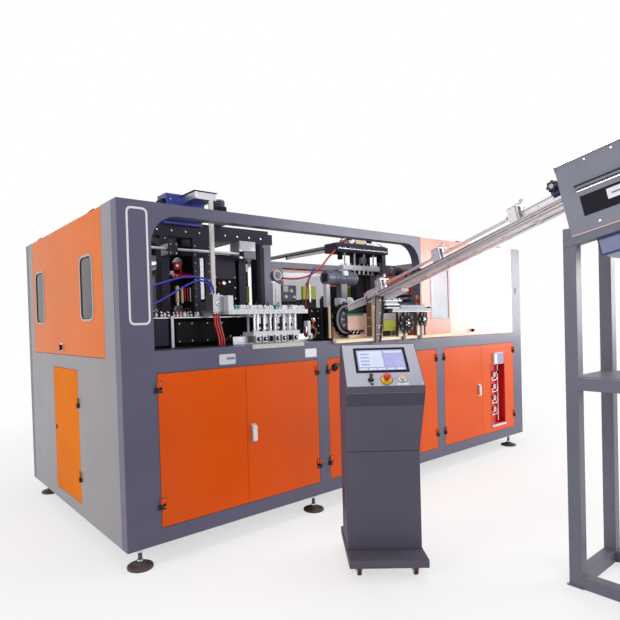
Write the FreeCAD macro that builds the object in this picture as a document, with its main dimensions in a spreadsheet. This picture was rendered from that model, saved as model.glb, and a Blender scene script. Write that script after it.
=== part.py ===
"""Linear stretch blow moulding machine with its operator console and its preform feeder.

Millimetres and degrees, +Z up, +X along the cabinet, +Y from its front to its back.
The origin is the centre of the front left levelling foot, where it meets the floor.
Pieces are placed from the cabinet's front left corner; the chute, the hopper and the console
have a local frame each, which their own Placement carries into the machine.
"""
import FreeCAD, Part
import math
import os
import re

import Sketcher
from FreeCAD import Placement, Rotation, Vector

SIZES = {
    # Cabinet
    "cabinet_length": 4488, "cabinet_depth": 2038, "cabinet_base": 120, "cabinet_height": 1980,
    "front_depth": 80, "end_depth": 60, "corner_bevel": 34, "sheet_gauge": 2,
    # Uprights and bays of the front, from left to right
    "post_left": 211, "bay_left": 1261, "post_middle": 103, "bay_middle": 1359,
    "post_right": 114, "post_last": 177, "bottom_rail": 89, "door_height": 900,
    "sill_height": 129, "top_rail": 70,
    # Working opening above the sill, and the guards to its right
    "opening_left": 201, "opening_width": 2516, "opening_radius": 176, "jamb": 16,
    "guard_depth": 22, "guard_drop": 30, "guard_lip": 30, "guard_gap": 3,
    "window_guard_width": 432, "window_inset": 137, "window_width": 278,
    "window_height": 450, "window_rise": 172, "pane_gauge": 3, "pane_lap": 5,
    "back_window_inset": 90, "back_window_width": 700, "back_window_rise": 90,
    "back_window_height": 690,
    # Hinged doors
    "door_depth": 22, "door_gap": 3, "door_split_left": 622, "door_split_middle": 679,
    "door_split_right": 639, "hinge_offset": 8, "hinge_radius": 7.5,
    "hinge_pin": 4, "hinge_half": 32,
    "hinge_leaf": 24, "hinge_gauge": 4, "hinge_low": 141, "hinge_high": 80,
    "running_fit": 0.05, "hinge_play": 0.3,
    "latch_width": 32, "latch_height": 104, "latch_gauge": 12, "latch_standoff": 8,
    "latch_inset": 38, "latch_rise": 490, "latch_spindle": 8, "latch_tongue": 14,
    "knob_inset": 69, "knob_drop": 72, "knob_radius": 19, "knob_depth": 26, "knob_arm": 68,
    "knob_turn": 34,
    # Left end of the cabinet
    "end_guard_front": 237, "end_guard_back": 192, "end_guard_bottom": 1200,
    "end_window_inset": 181, "end_window_width": 221, "end_window_rise": 239,
    "end_window_height": 396, "end_window_radius": 48, "end_window_far_inset": 101,
    "end_door_front": 766, "end_door_width": 565, "end_door_bottom": 202,
    "end_door_height": 905, "end_hinge_low": 185, "end_hinge_high": 222,
    "top_hinge_radius": 5, "top_hinge_pin": 3, "top_hinge_half": 40, "top_hinge_inset": 180,
    "lock_radius": 16, "lock_depth": 5, "lock_rise": 53, "service_lock_inset": 362,
    "end_lock_inset": 866,
    # Red gauge recess in the right front door
    "gauge_left": 802, "gauge_width": 277, "gauge_rise": 74, "gauge_height": 618,
    "gauge_depth": 60, "gauge_box_width": 175, "gauge_box_height": 112, "gauge_box_depth": 14,
    "gauge_radius": 24, "gauge_face": 16, "gauge_pitch": 118, "gauge_first": 150,
    # Levelling feet
    "foot_inset_x": 93, "foot_inset_y": 52, "foot_second": 1442, "foot_third": 2560,
    "foot_last_inset": 214, "foot_back_inset": 153, "foot_radius": 75, "foot_pad": 14,
    "foot_boss": 30, "foot_boss_height": 18, "foot_stud": 12, "foot_nut": 20,
    "foot_nut_height": 18,
    # Bed
    "bed_plate": 30, "bed_beam": 60, "bed_beam_height": 70, "floor_sheet": 4,
    # Ledge in front of the sill
    "ledge_left": 1640, "ledge_right": 3120, "ledge_out": 32, "ledge_drop": 20,
    "ledge_rise": 3, "ledge_depth": 300, "cream_inset": 105, "cream_width": 84,
    "cream_front": 150, "cream_depth": 140, "cream_height": 185,
    # Clamp unit
    "clamp_middle": 1020, "base_left": 280, "base_length": 1220, "base_front": 360,
    "base_height": 202, "base_flange": 12, "base_waist": 40, "brace_left": 478,
    "brace_width": 22, "brace_front": 336,
    "portal_front": 500, "portal_depth": 80, "portal_left": 457, "portal_length": 1021,
    "portal_bottom": 2007, "portal_height": 81, "column_first": 506, "column_first_width": 60,
    "slot_plate_left": 756, "slot_plate_width": 142, "slot_plate_depth": 20,
    "slot_inset": 46, "slot_width": 50, "slot_rise": 110, "slot_height": 330,
    "column_third": 1148, "column_third_width": 66, "column_last": 1319,
    "column_last_width": 140, "top_plate": 25, "top_plate_inset": 40,
    "fixed_platen_from_middle": 330, "fixed_platen_depth": 50, "fixed_platen_left": 640,
    "fixed_platen_length": 690, "fixed_platen_height": 460, "barrel_radius": 45,
    "barrel_length": 150, "barrel_end": 15, "barrel_height": 210, "piston_radius": 20,
    "tie_radius": 25, "tie_inset": 50, "tie_low": 60, "tie_high": 400, "tie_nut": 38,
    "tie_nut_length": 30,
    "mould_open": 70, "mould_depth": 150, "mould_left": 720, "mould_length": 530,
    "mould_bottom": 1480, "mould_height": 380, "moving_platen_depth": 40,
    "moving_platen_lap": 85, "moving_platen_rise": 16, "moving_platen_height": 432,
    "holder_depth": 50, "insert_gap": 3, "cavity_radius": 38, "cavity_rise": 60,
    "cavity_height": 250, "neck_radius": 14, "cavity_pitch": 125,
    "nozzle_radius": 18, "nozzle_gap": 15, "stretch_radius": 6, "stretch_bar_width": 60,
    "stretch_bar_height": 28, "stretch_bar_bottom": 2264, "stretch_tip": 1880,
    "stretch_overhang": 55, "drive_left": 522, "drive_width": 298, "drive_front": 430,
    "drive_depth": 130, "drive_height": 173, "drive_foot": 25,
    "stretch_motor_x": 963, "stretch_motor_y": 470, "stretch_motor_radius": 43,
    "stretch_motor_height": 180, "motor_shelf": 12,
    # Rods, brackets and air blocks in front of the portal
    "guide_rod_x": 788, "guide_rod_y": 300, "guide_rod_radius": 14, "cap_left": 663,
    "cap_width": 165, "cap_front": 285, "cap_bottom": 2236, "cap_height": 50,
    "cross_rod_y": 400, "cross_rod_z": 1901, "cross_rod_radius": 11, "cross_rod_left": 150,
    "rod_clamp_width": 59, "rod_clamp_height": 74, "rod_clamp_front": 380,
    "air_block_left": 1074, "air_block_width": 147, "air_block_height": 128,
    "air_block_bottom": 1867, "air_block_front": 380,
    "hose_block_left": 745, "hose_block_width": 80, "hose_block_bottom": 1469,
    "hose_block_height": 116, "hose_block_front": 232, "hose_block_depth": 96, "hose_arm": 14,
    "hose_foot": 40,
    "lime_pad_width": 60, "lime_pad_height": 132, "lime_pad_depth": 20, "lime_pad_bottom": 1550,
    "lime_pad_first": 820, "lime_pad_second": 1265,
    # Transfer unit
    "rail_left": 900, "rail_front": 236, "rail_depth": 94,
    "rail_height": 56, "carriage_left": 857, "carriage_length": 698, "carriage_front": 190,
    "carriage_depth": 138, "carriage_top": 1480, "carriage_plate": 28, "carriage_lower": 29,
    "carriage_lower_left": 1047, "carriage_lower_length": 421, "apron_left": 1124,
    "apron_length": 341, "apron_gauge": 14, "apron_height": 46, "upright_width": 24,
    "upright_height": 99, "carriage_rod": 9, "carriage_rods": 5, "carriage_rod_inset": 30,
    "slide_gap": 0.3, "valve_width": 46, "valve_height": 34, "valve_depth": 60,
    # Gripper bridge
    "bridge_left": 2133, "bridge_length": 640, "bridge_front": 420, "bridge_bottom": 1989,
    "bridge_height": 81, "bridge_column_left": 2452, "bridge_column_width": 95,
    "bridge_column_gap": 28, "bridge_column_narrow": 69, "bridge_column_depth": 80,
    "bridge_reach": 80, "bridge_valve_left": 2364, "bridge_valve_width": 105,
    "bridge_valve_height": 62, "gripper_left": 2201, "gripper_length": 479,
    "gripper_bottom": 1834, "gripper_height": 45, "gripper_depth": 50, "gripper_front": 425,
    "gripper_rod": 7, "gripper_rods": 4, "gripper_rod_top": 2096, "gripper_finger": 26,
    "gripper_finger_height": 34, "gripper_fingers": 8,
    # Lamp under its rail, from the bridge to the back frame
    "lamp_rail_left": 2210, "lamp_rail_width": 60, "lamp_rail_height": 24, "lamp_start": 640,
    "lamp_length": 600, "lamp_radius": 13, "lamp_holder": 20, "lamp_gap": 3,
    # Loading wheel, its housing and its motor
    "wheel_x": 2035, "wheel_front": 236, "wheel_depth": 38, "wheel_z": 1396,
    "wheel_radius": 125, "wheel_teeth": 16, "tooth_radius": 11, "wheel_shaft": 12,
    "wheel_hub": 34, "housing_left": 1950, "housing_right": 2440, "housing_front": 196,
    "housing_skin": 12, "housing_skin_left": 2040, "housing_back": 300, "housing_depth": 120,
    "housing_height": 201, "housing_web": 2190, "motor_left": 1887, "motor_length": 347,
    "motor_y": 332, "motor_z": 1744, "motor_radius": 55, "motor_stand_left": 2050,
    "motor_stand_width": 70, "motor_stand_depth": 60, "gearbox_hanger": 38,
    "gearbox_width": 139, "gearbox_height": 95, "gearbox_bottom": 1803,
    "gear_motor_length": 130, "gear_motor_radius": 37,
    "lime_cover_left": 2450, "lime_cover_width": 150, "lime_cover_front": 200,
    "lime_cover_depth": 60, "lime_cover_height": 143,
    "inner_cover_left": 2742, "inner_cover_depth": 245, "inner_cover_height": 370,
    "blower_x": 3185, "blower_y": 620, "blower_z": 1642, "blower_radius": 86,
    "blower_width": 90, "blower_foot": 60,
    # Oven and electrical cabinet
    "oven_left": 2790, "oven_end": 298, "oven_front": 820, "oven_depth": 520,
    "oven_height": 420, "oven_slot": 90, "lamp_radius": 6, "lamp_rows": 6, "lamp_pitch": 50,
    "lamp_rise": 90, "control_left": 1700, "control_length": 1100, "control_back": 228,
    "control_depth": 250, "control_height": 760,
    # Chute: a U rail on a slope, turned a little from square
    "chute_x": 1972, "chute_y": -1560, "chute_z": 2011, "chute_tilt": 14.9, "chute_skew": 9,
    "chute_length": 1810, "chute_start": 90, "chute_width": 95, "chute_height": 54, "rail_wall": 16,
    "rail_groove": 8, "rail_groove_height": 26, "chute_floor": 4, "floor_slot": 26,
    "floor_slot_length": 180, "floor_slot_pitch": 225, "floor_slots": 8,
    "hold_bar_start": 70, "hold_bar_end": 300, "hold_bar_width": 20, "hold_bar_height": 34,
    "hold_rise": 10, "hold_rod": 5, "hold_rod_rise": 36, "hold_rod_gap": 12,
    "hold_rod_end": 1745,
    "bracket_first": 300, "bracket_pitch": 640, "bracket_count": 3, "bracket_length": 70,
    "bracket_height": 90, "bracket_wall": 8, "lever_post": 9, "lever_arm": 46,
    "lever_rise": 14, "knob_bracket_start": 30, "knob_bracket_height": 88,
    "knob_bracket_width": 46, "star_radius": 27, "star_depth": 20, "star_lobe": 9,
    "star_lobes": 6, "star_shaft": 5, "star_stand_off": 22,
    # Rails that lead from the chute's lower end down to the loading wheel
    "infeed_length": 250, "infeed_turn": 81, "infeed_tilt": 16.8, "infeed_gap": 30,
    "infeed_gauge": 6, "infeed_height": 40, "infeed_root": 45, "infeed_rise": 10,
    # Stand under the chute's lower end, and the star wheels beside it
    "post_x": 2195, "post_y": 105, "post_size": 55, "post_top": 1660, "leg_foot_left": 2062,
    "leg_foot_right": 2128, "leg_head_left": 2085, "leg_head_right": 2200, "leg_gauge": 12,
    "leg_head": 1600, "leg_foot": 1205,
    "star_one_radius": 80, "star_two_radius": 50, "star_wheel_depth": 18, "star_one_teeth": 10,
    "star_two_teeth": 6,
    "star_wheel_shaft": 8, "star_wheel_hub": 22, "star_wheel_gap": 14,
    "star_one_x": 2425, "star_one_z": 1352, "star_two_x": 2650, "star_two_z": 1380,
    "star_post": 34, "star_post_depth": 14, "conveyor_left": 2235, "conveyor_right": 2765,
    "conveyor_height": 30, "conveyor_depth": 44,
    # Feeder stand
    "stand_left": 1680, "stand_front": -1681, "stand_tube": 60, "stand_width": 510,
    "stand_depth": 760, "stand_shelf": 1000, "stand_top": 1811,
    "stand_rail": 40, "stand_rail_reach": 40,
    # Hopper, in its own tilted frame
    "hopper_y": -1664, "hopper_z": 1764, "hopper_tilt": 12, "hopper_length": 760,
    "hopper_height": 375, "hopper_sheet": 4, "hopper_seam": 216, "hopper_lip": 22,
    "hopper_window_start": 80, "hopper_window_length": 460, "hopper_window_rise": 79,
    "hopper_window_height": 102, "hopper_flare": 26, "roller_radius": 42,
    "roller_shaft": 12, "roller_spacing": 122, "roller_rise": 250, "roller_bearing": 14,
    # Console, in its own frame turned towards the operator
    "console_x": 1017, "console_y": -1008, "console_turn": 40, "console_width": 408,
    "plinth_width": 420, "plinth_bottom": 68, "plinth_height": 44, "plinth_depth": 476,
    "plinth_front": 14, "column_front": 150, "column_back": 400, "crease_height": 657, "lip_out": 11,
    "lip_bottom": 1002, "lip_top": 1035, "face_back": 222, "face_top": 1244,
    "head_back": 300, "shoulder_height": 1000, "display_across": 0, "display_width": 284,
    "display_height": 184, "display_up": 98, "display_proud": 4, "display_bezel": 12,
    "button_up": 46, "estop_across": 10, "estop_base": 30, "estop_cap": 20,
    "estop_base_height": 6, "estop_height": 26, "estop_travel": 6, "button_stem": 8,
    "button_stem_length": 16, "selector_across": -72, "selector_radius": 12,
    "selector_height": 16, "push_across": 92, "push_radius": 13, "push_height": 9,
    "collar_height": 5, "castor_inset": 58, "castor_set": 76, "castor_radius": 28, "castor_width": 22,
    "castor_plate": 6, "castor_fork": 4, "castor_axle": 5,
    # Hoses
    "blue_hose": 12, "red_hose": 14, "red_hose_pitch": 20,
}

# Places that follow from the sizes above, measured from the cabinet's front left corner.
DERIVED = {
    "cabinet_top": "cabinet_base + cabinet_height",
    "end_guard_width": "cabinet_depth - end_guard_back - end_guard_front",
    "foot_last": "cabinet_length - foot_last_inset",
    "foot_back": "cabinet_depth - foot_back_inset",
    "door_bottom": "cabinet_base + bottom_rail",
    "door_top": "door_bottom + door_height",
    "sill_top": "door_top + sill_height",
    "opening_top": "cabinet_top - top_rail",
    "opening_right": "opening_left + opening_width",
    "bay_middle_left": "post_left + bay_left + post_middle",
    "bay_right_left": "bay_middle_left + bay_middle + post_right",
    "bay_right": "cabinet_length - post_last - bay_right_left",
    "bay_right_right": "cabinet_length - post_last",
    "guards_left": "opening_right + jamb",
    "guards_width": "bay_right_right - guards_left",
    "guards_bottom": "sill_top - guard_drop",
    "guards_height": "cabinet_top - guards_bottom",
    "service_left": "guards_left + window_guard_width",
    "back_face": "cabinet_depth - front_depth",
    "bed_top": "sill_top",
    "bed_bottom": "sill_top - bed_plate",
    "ledge_top": "sill_top + ledge_rise",
    "cream_left": "opening_right - cream_inset",
    "base_top": "bed_top + base_height",
    "base_depth": "2 * (clamp_middle - base_front)",
    "portal_top": "portal_bottom + portal_height",
    "plate_top": "portal_top + top_plate",
    "platen_front": "clamp_middle - fixed_platen_from_middle - fixed_platen_depth",
    "mould_face": "clamp_middle - mould_open",
    "moving_back": "mould_face - mould_depth - moving_platen_depth",
    "barrel_x": "fixed_platen_left + fixed_platen_length / 2",
    "barrel_z": "base_top + barrel_height",
    "rail_top": "bed_top + rail_height",
    "lower_bottom": "rail_top + slide_gap",
    "plate_bottom": "carriage_top - carriage_plate",
    "bridge_back": "bridge_front + bridge_reach",
    "bridge_right": "bridge_left + bridge_length",
    "bridge_second": "bridge_column_left + bridge_column_width + bridge_column_gap",
    "oven_length": "cabinet_length - oven_end - oven_left",
    "control_front": "cabinet_depth - control_back - control_depth",
    "stand_right": "stand_left + stand_width",
    "hopper_width": "stand_width + 2 * hopper_sheet",
    "hopper_middle": "chute_x - stand_left + hopper_sheet - chute_start / 2 * sin(chute_skew)",
    "roller_gap": "roller_spacing - 2 * roller_radius",
    "face_tilt": "atan((face_top - lip_top) / (face_back + lip_out))",
    "face_origin_y": "-lip_out",
    "ledge_front": "-ledge_out",
    "infeed_x": "chute_x + chute_length * cos(chute_tilt) * sin(chute_skew)",
    "infeed_y": "chute_y + chute_length * cos(chute_tilt) * cos(chute_skew)",
    "infeed_z": "chute_z - chute_length * sin(chute_tilt)",
    "conveyor_bottom": "star_one_z + star_one_radius + tooth_radius + slide_gap",
    "middle_split": "bay_middle_left + door_split_middle",
}

FUNCTIONS = ("sin", "cos", "tan", "atan", "sqrt", "abs", "min", "max")
MACHINE = ("-foot_inset_x", "-foot_inset_y", "0")
LOCAL = ("0", "0", "0")
TURNS = {"X": Rotation(Vector(0, 1, 0), 90), "Y": Rotation(Vector(1, 0, 0), -90), "Z": Rotation()}
CHUTE = {"at": ("chute_x", "chute_y", "chute_z"), "space": MACHINE,
         "yaw": "-chute_skew", "roll": "-chute_tilt"}
INFEED = {"at": ("infeed_x", "infeed_y", "infeed_z"), "space": MACHINE,
          "yaw": "infeed_turn", "roll": "-infeed_tilt"}
HOPPER = {"at": ("stand_left - hopper_sheet", "hopper_y", "hopper_z"), "space": MACHINE,
          "roll": "-hopper_tilt"}
CONSOLE = {"at": ("console_x", "console_y", "0"), "space": MACHINE, "yaw": "-console_turn"}

doc = FreeCAD.newDocument("blow_moulding_machine")
sheet = doc.addObject("Spreadsheet::Sheet", "Sizes")
for row, (alias, value) in enumerate(SIZES.items(), start=1):
    sheet.set("A%d" % row, alias)
    sheet.set("B%d" % row, str(value))
    sheet.setAlias("B%d" % row, alias)
doc.recompute()

sub_parts = []


def formula(text):
    """Write out derived places and name the sheet in front of each size."""
    def spell(found):
        word = found.group(0)
        if word in DERIVED:
            return "(" + formula(DERIVED[word]) + ")"
        if word in SIZES:
            return "Sizes." + word
        if word in FUNCTIONS:
            return word
        raise ValueError("no such size: " + word)
    return re.sub(r"[a-z][a-z_]*", spell, text)


def value(text):
    """The number that a formula gives with the sheet as it stands."""
    return float(sheet.evalExpression(formula(text)))


def bind(part, **formulas):
    for name, text in formulas.items():
        part.setExpression(name, formula(text))
    return part


def place(part, at, space=LOCAL, yaw=None, roll=None):
    """Bind an object's position, and its turn about Z and X, to the sheet."""
    for axis, text, shift in zip("xyz", at, space):
        total = text if shift == "0" else "%s + %s" % (text, shift)
        if total != "0":
            part.setExpression("Placement.Base." + axis, formula(total))
    if yaw:
        part.setExpression("Placement.Rotation.Yaw", formula(yaw))
    if roll:
        part.setExpression("Placement.Rotation.Roll", formula(roll))
    return part


def block(name, at, size, space=MACHINE):
    part = doc.addObject("Part::Box", name)
    bind(part, Length=size[0], Width=size[1], Height=size[2])
    return place(part, at, space)


def rod(name, at, radius, length, axis="Z", space=MACHINE):
    """A cylinder that runs from a point towards +X, +Y or +Z."""
    part = doc.addObject("Part::Cylinder", name)
    part.Placement = Placement(Vector(), TURNS[axis])
    bind(part, Radius=radius, Height=length)
    return place(part, at, space)


def fuse(name, *parts):
    part = doc.addObject("Part::MultiFuse", name)
    part.Shapes = list(parts)
    part.Refine = True
    return part


def cut(name, base, *tools):
    part = doc.addObject("Part::Cut", name)
    part.Base = base
    part.Tool = tools[0] if len(tools) == 1 else group(name + "_tools", *tools)
    part.Refine = True
    return part


def group(name, *parts):
    part = doc.addObject("Part::Compound", name)
    part.Links = list(parts)
    return part


def sub_part(label, part, **placing):
    """Name a finished piece, and carry it from its local frame where it has one."""
    if placing:
        place(part, **placing)
    part.Label = label
    sub_parts.append(part)
    return part


def rounded_block(name, at, size, radius, axis, edges=None, space=MACHINE):
    """A block with its edges along one axis rounded, or only those that the test picks."""
    body = doc.addObject("PartDesign::Body", name)
    box = body.newObject("PartDesign::AdditiveBox", name + "_box")
    bind(box, Length=size[0], Width=size[1], Height=size[2])
    doc.recompute()
    picked = []
    for number, edge in enumerate(box.Shape.Edges, start=1):
        along = abs(getattr(edge.tangentAt(edge.FirstParameter), axis.lower())) > 0.9
        if along and (edges is None or edges(edge.CenterOfMass)):
            picked.append("Edge%d" % number)
    fillet = body.newObject("PartDesign::Fillet", name + "_fillet")
    fillet.Base = (box, picked)
    bind(fillet, Radius=radius)
    return place(body, at, space)


def padded_outline(name, role, points, depth, at, space=MACHINE):
    """A closed outline drawn on one origin plane and padded square to it."""
    body = doc.addObject("PartDesign::Body", name)
    sketch = body.newObject("Sketcher::SketchObject", name + "_outline")
    plane = next(item for item in body.Origin.OriginFeatures if item.Role == role)
    sketch.AttachmentSupport = [(plane, "")]
    sketch.MapMode = "FlatFace"
    corners = [Vector(value(across), value(up), 0) for across, up in points]
    for here, after in zip(corners, corners[1:] + corners[:1]):
        sketch.addGeometry(Part.LineSegment(here, after), False)
    count = len(points)
    for index in range(count):
        sketch.addConstraint(Sketcher.Constraint("Coincident", index, 2, (index + 1) % count, 1))
    for index, (across, up) in enumerate(points):
        for kind, text, now in (("DistanceX", across, corners[index].x),
                                ("DistanceY", up, corners[index].y)):
            number = sketch.addConstraint(Sketcher.Constraint(kind, -1, 1, index, 1, now))
            sketch.setExpression("Constraints[%d]" % number, formula(text))
    pad = body.newObject("PartDesign::Pad", name + "_pad")
    pad.Profile = sketch
    bind(pad, Length=depth)
    return place(body, at, space)


def pan(name, at, size, side):
    """A folded sheet panel: a skin on its outer side and returns round its four edges."""
    outer = block(name + "_skin", at, size)
    inner_at = list(at)
    inner_size = ["%s - 2 * sheet_gauge" % length for length in size]
    for axis in range(3):
        inner_at[axis] = "%s + sheet_gauge" % at[axis]
    inner_size[side] = size[side]
    return cut(name + "_pan", outer, block(name + "_inside", inner_at, inner_size))


def bay_boxes(name, front, depth):
    """The three door openings of a long side, as blocks to cut with."""
    bays = (("left", "post_left", "bay_left"), ("middle", "bay_middle_left", "bay_middle"),
            ("right", "bay_right_left", "bay_right"))
    return [block("%s_bay_%s" % (name, word), (left, front, "door_bottom"),
                  (width, depth, "door_height")) for word, left, width in bays]


def working_opening(name, front, depth):
    def is_upper(point):
        return point.z > 1
    return rounded_block(name, ("opening_left", front, "sill_top"),
                         ("opening_width", depth, "opening_top - sill_top"),
                         "opening_radius", "Y", is_upper)


def guard_seat(name, front, through):
    """The recess that the upper right guards lie in, and the gap behind them."""
    recess = block(name + "_recess", ("guards_left", front, "guards_bottom"),
                   ("guards_width", "guard_depth", "guards_height"))
    gap = block(name + "_gap", ("guards_left + guard_lip", through, "sill_top"),
                ("guards_width - 2 * guard_lip", "front_depth", "opening_top - sill_top"))
    return [recess, gap]


# ---- Cabinet ---------------------------------------------------------------------------------

def front_frame():
    plate = block("front_plate", ("0", "0", "cabinet_base"),
                  ("cabinet_length", "front_depth", "cabinet_height"))
    bevel = block("front_bevel", ("0", "-corner_bevel", "cabinet_base"),
                  ("corner_bevel * sqrt(2)", "corner_bevel * sqrt(2)", "cabinet_height"))
    bevel.Placement = Placement(Vector(), Rotation(Vector(0, 0, 1), 135))
    place(bevel, ("corner_bevel", "0", "cabinet_base"))
    tools = bay_boxes("front", "0", "front_depth")
    tools.append(working_opening("front_opening", "0", "front_depth"))
    tools += guard_seat("front_guard", "0", "guard_depth")
    sub_part("front_frame", cut("front_frame", plate, bevel, *tools))


def back_frame():
    plate = block("back_plate", ("0", "back_face", "cabinet_base"),
                  ("cabinet_length", "front_depth", "cabinet_height"))
    tools = bay_boxes("back", "back_face", "front_depth")
    tools.append(working_opening("back_opening", "back_face", "front_depth"))
    tools += guard_seat("back_guard", "cabinet_depth - guard_depth", "back_face - guard_depth")
    sub_part("back_frame", cut("back_frame", plate, *tools))


def end_frames():
    size = ("end_depth", "cabinet_depth - 2 * front_depth", "cabinet_height")
    guard_height = "cabinet_top - end_guard_bottom"
    ends = []
    for word, left, recess_left in (("left", "0", "0"),
                                    ("right", "cabinet_length - end_depth",
                                     "cabinet_length - guard_depth")):
        plate = block(word + "_end", (left, "front_depth", "cabinet_base"), size)
        tools = [block(word + "_recess", (recess_left, "end_guard_front", "end_guard_bottom"),
                       ("guard_depth", "end_guard_width", guard_height)),
                 block(word + "_gap", (left, "end_guard_front + guard_lip", "sill_top"),
                       ("end_depth", "end_guard_width - 2 * guard_lip",
                        "opening_top - sill_top"))]
        if word == "left":
            tools.append(block("end_doorway", ("0", "end_door_front", "end_door_bottom"),
                               ("end_depth", "end_door_width", "end_door_height")))
        ends.append(cut(word + "_end_frame", plate, *tools))
    sub_part("end_frames", group("end_frames", *ends))


def machine_bed():
    inner_length = "cabinet_length - 2 * end_depth"
    inner_depth = "cabinet_depth - 2 * front_depth"
    plate = block("bed_plate", ("end_depth", "front_depth", "bed_bottom"),
                  (inner_length, inner_depth, "bed_plate"))
    floor = block("bed_floor", ("end_depth", "front_depth", "cabinet_base"),
                  (inner_length, inner_depth, "floor_sheet"))
    beams = []
    for word, left in (("left", "end_depth"), ("second", "post_left + bay_left"),
                       ("third", "bay_middle_left + bay_middle"),
                       ("right", "cabinet_length - end_depth - bed_beam")):
        beams.append(block("bed_beam_" + word, (left, "front_depth", "bed_bottom - bed_beam_height"),
                           ("bed_beam", inner_depth, "bed_beam_height")))
    for word, left in (("second", "post_left + bay_left"),
                       ("third", "bay_middle_left + bay_middle")):
        for side, front in (("front", "front_depth"),
                            ("back", "back_face - bed_beam")):
            beams.append(block("bed_leg_%s_%s" % (word, side),
                               (left, front, "cabinet_base + floor_sheet"),
                               ("bed_beam", "bed_beam",
                                "bed_bottom - bed_beam_height - cabinet_base - floor_sheet")))
    sub_part("machine_bed", fuse("machine_bed", plate, floor, *beams))


def levelling_feet():
    feet = []
    for word, across in (("first", "foot_inset_x"), ("second", "foot_second"),
                         ("third", "foot_third"), ("last", "foot_last")):
        for side, along in (("front", "foot_inset_y"), ("back", "foot_back")):
            name = "foot_%s_%s" % (word, side)
            feet.append(fuse(
                name,
                rod(name + "_pad", (across, along, "0"), "foot_radius", "foot_pad"),
                rod(name + "_boss", (across, along, "foot_pad"), "foot_boss", "foot_boss_height"),
                rod(name + "_stud", (across, along, "0"), "foot_stud", "cabinet_base"),
                rod(name + "_nut", (across, along, "cabinet_base - foot_nut_height"),
                    "foot_nut", "foot_nut_height")))
    sub_part("levelling_feet", group("levelling_feet", *feet))


# ---- Doors -----------------------------------------------------------------------------------

# Front doors: number, left edge, width, side that carries the hinges.
FRONT_DOORS = (
    ("one", "post_left", "door_split_left", "left"),
    ("two", "post_left + door_split_left", "bay_left - door_split_left", "right"),
    ("three", "bay_middle_left", "door_split_middle", "left"),
    ("four", "middle_split", "bay_middle - door_split_middle", "right"),
    ("five", "bay_right_left", "door_split_right", "left"),
    ("six", "bay_right_left + door_split_right", "bay_right - door_split_right", "right"),
)


def hinge_places():
    """Each hinge of the upright doors: its name, axis, height, and the sign and axis of its door."""
    places = []
    for word, left, width, side in FRONT_DOORS:
        edge = left if side == "left" else "%s + %s" % (left, width)
        sign = "+" if side == "left" else "-"
        centre = "%s %s door_gap / 2" % (edge, sign)
        for level, height in (("low", "door_bottom + hinge_low"),
                              ("high", "door_top - hinge_high")):
            places.append(("door_" + word, level, centre, "-hinge_offset", height, sign, "X"))
    for level, height in (("low", "end_door_bottom + end_hinge_low"),
                          ("high", "end_door_bottom + end_door_height - end_hinge_high")):
        places.append(("end_door", level, "-hinge_offset", "end_door_front + door_gap / 2",
                       height, "+", "Y"))
    return places


def hinge_leaf(name, place_of, bottom, sign):
    """A flat leaf between the barrel's axis and the sheet that it is screwed to."""
    x, y, along = place_of
    if along == "X":
        corner_x = x if sign == "+" else "%s - hinge_leaf" % x
        return block(name, (corner_x, "-hinge_gauge", bottom),
                     ("hinge_leaf", "hinge_gauge", "hinge_half"))
    corner_y = y if sign == "+" else "%s - hinge_leaf" % y
    return block(name, ("-hinge_gauge", corner_y, bottom),
                 ("hinge_gauge", "hinge_leaf", "hinge_half"))


def door_hinges():
    """The halves that stay on the frame: leaf, lower knuckle and pin."""
    hinges = []
    for door, level, x, y, height, sign, along in hinge_places():
        name = "%s_%s_hinge" % (door, level)
        bottom = "%s - hinge_half - hinge_play" % height
        other = "-" if sign == "+" else "+"
        hinges.append(fuse(
            name,
            rod(name + "_knuckle", (x, y, bottom), "hinge_radius", "hinge_half"),
            rod(name + "_pin", (x, y, bottom), "hinge_pin", "2 * hinge_half"),
            hinge_leaf(name + "_leaf", (x, y, along), bottom, other)))
    for name, _, _, frame_half in top_hinges_made:
        hinges.append(frame_half)
    sub_part("door_hinges", group("door_hinges", *hinges))


def door_knuckles(door):
    """The halves that swing with a door: leaves and upper knuckles, and the bores for the pins."""
    solids = []
    bores = []
    for owner, level, x, y, height, sign, along in hinge_places():
        if owner == door:
            name = "%s_%s" % (door, level)
            solids.append(rod(name + "_knuckle", (x, y, height), "hinge_radius", "hinge_half"))
            solids.append(hinge_leaf(name + "_leaf", (x, y, along), height, sign))
            bores.append(rod(name + "_bore", (x, y, height), "hinge_pin + running_fit",
                             "hinge_half"))
    return solids, bores


def front_doors():
    for word, left, width, _ in FRONT_DOORS:
        name = "door_" + word
        left_gap = "door_gap" if left in ("post_left", "bay_middle_left", "bay_right_left") else \
            "door_gap / 2"
        sheet_pan = pan(name, ("%s + %s" % (left, left_gap), "0", "door_bottom + door_gap"),
                        ("%s - 1.5 * door_gap" % width, "door_depth",
                         "door_height - 2 * door_gap"), 1)
        knuckles, bores = door_knuckles(name)
        tools = list(bores)
        if word in ("two", "five"):
            tools.append(rod(name + "_latch_hole", latch_place(word, "0"),
                             "latch_spindle + running_fit", "sheet_gauge", "Y"))
        if word == "three":
            tools.append(rod("switch_bore", switch_place("0"), "latch_spindle + running_fit",
                             "sheet_gauge", "Y"))
        if word == "six":
            tools.append(block("gauge_hole",
                               ("bay_right_left + gauge_left", "0", "door_bottom + gauge_rise"),
                               ("gauge_width", "sheet_gauge", "gauge_height")))
        sub_part("front_door_" + word, cut(name, fuse(name + "_solid", sheet_pan, *knuckles),
                                           *tools))


def switch_place(front):
    return ("bay_middle_left + knob_inset", front, "door_top - knob_drop")


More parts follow.
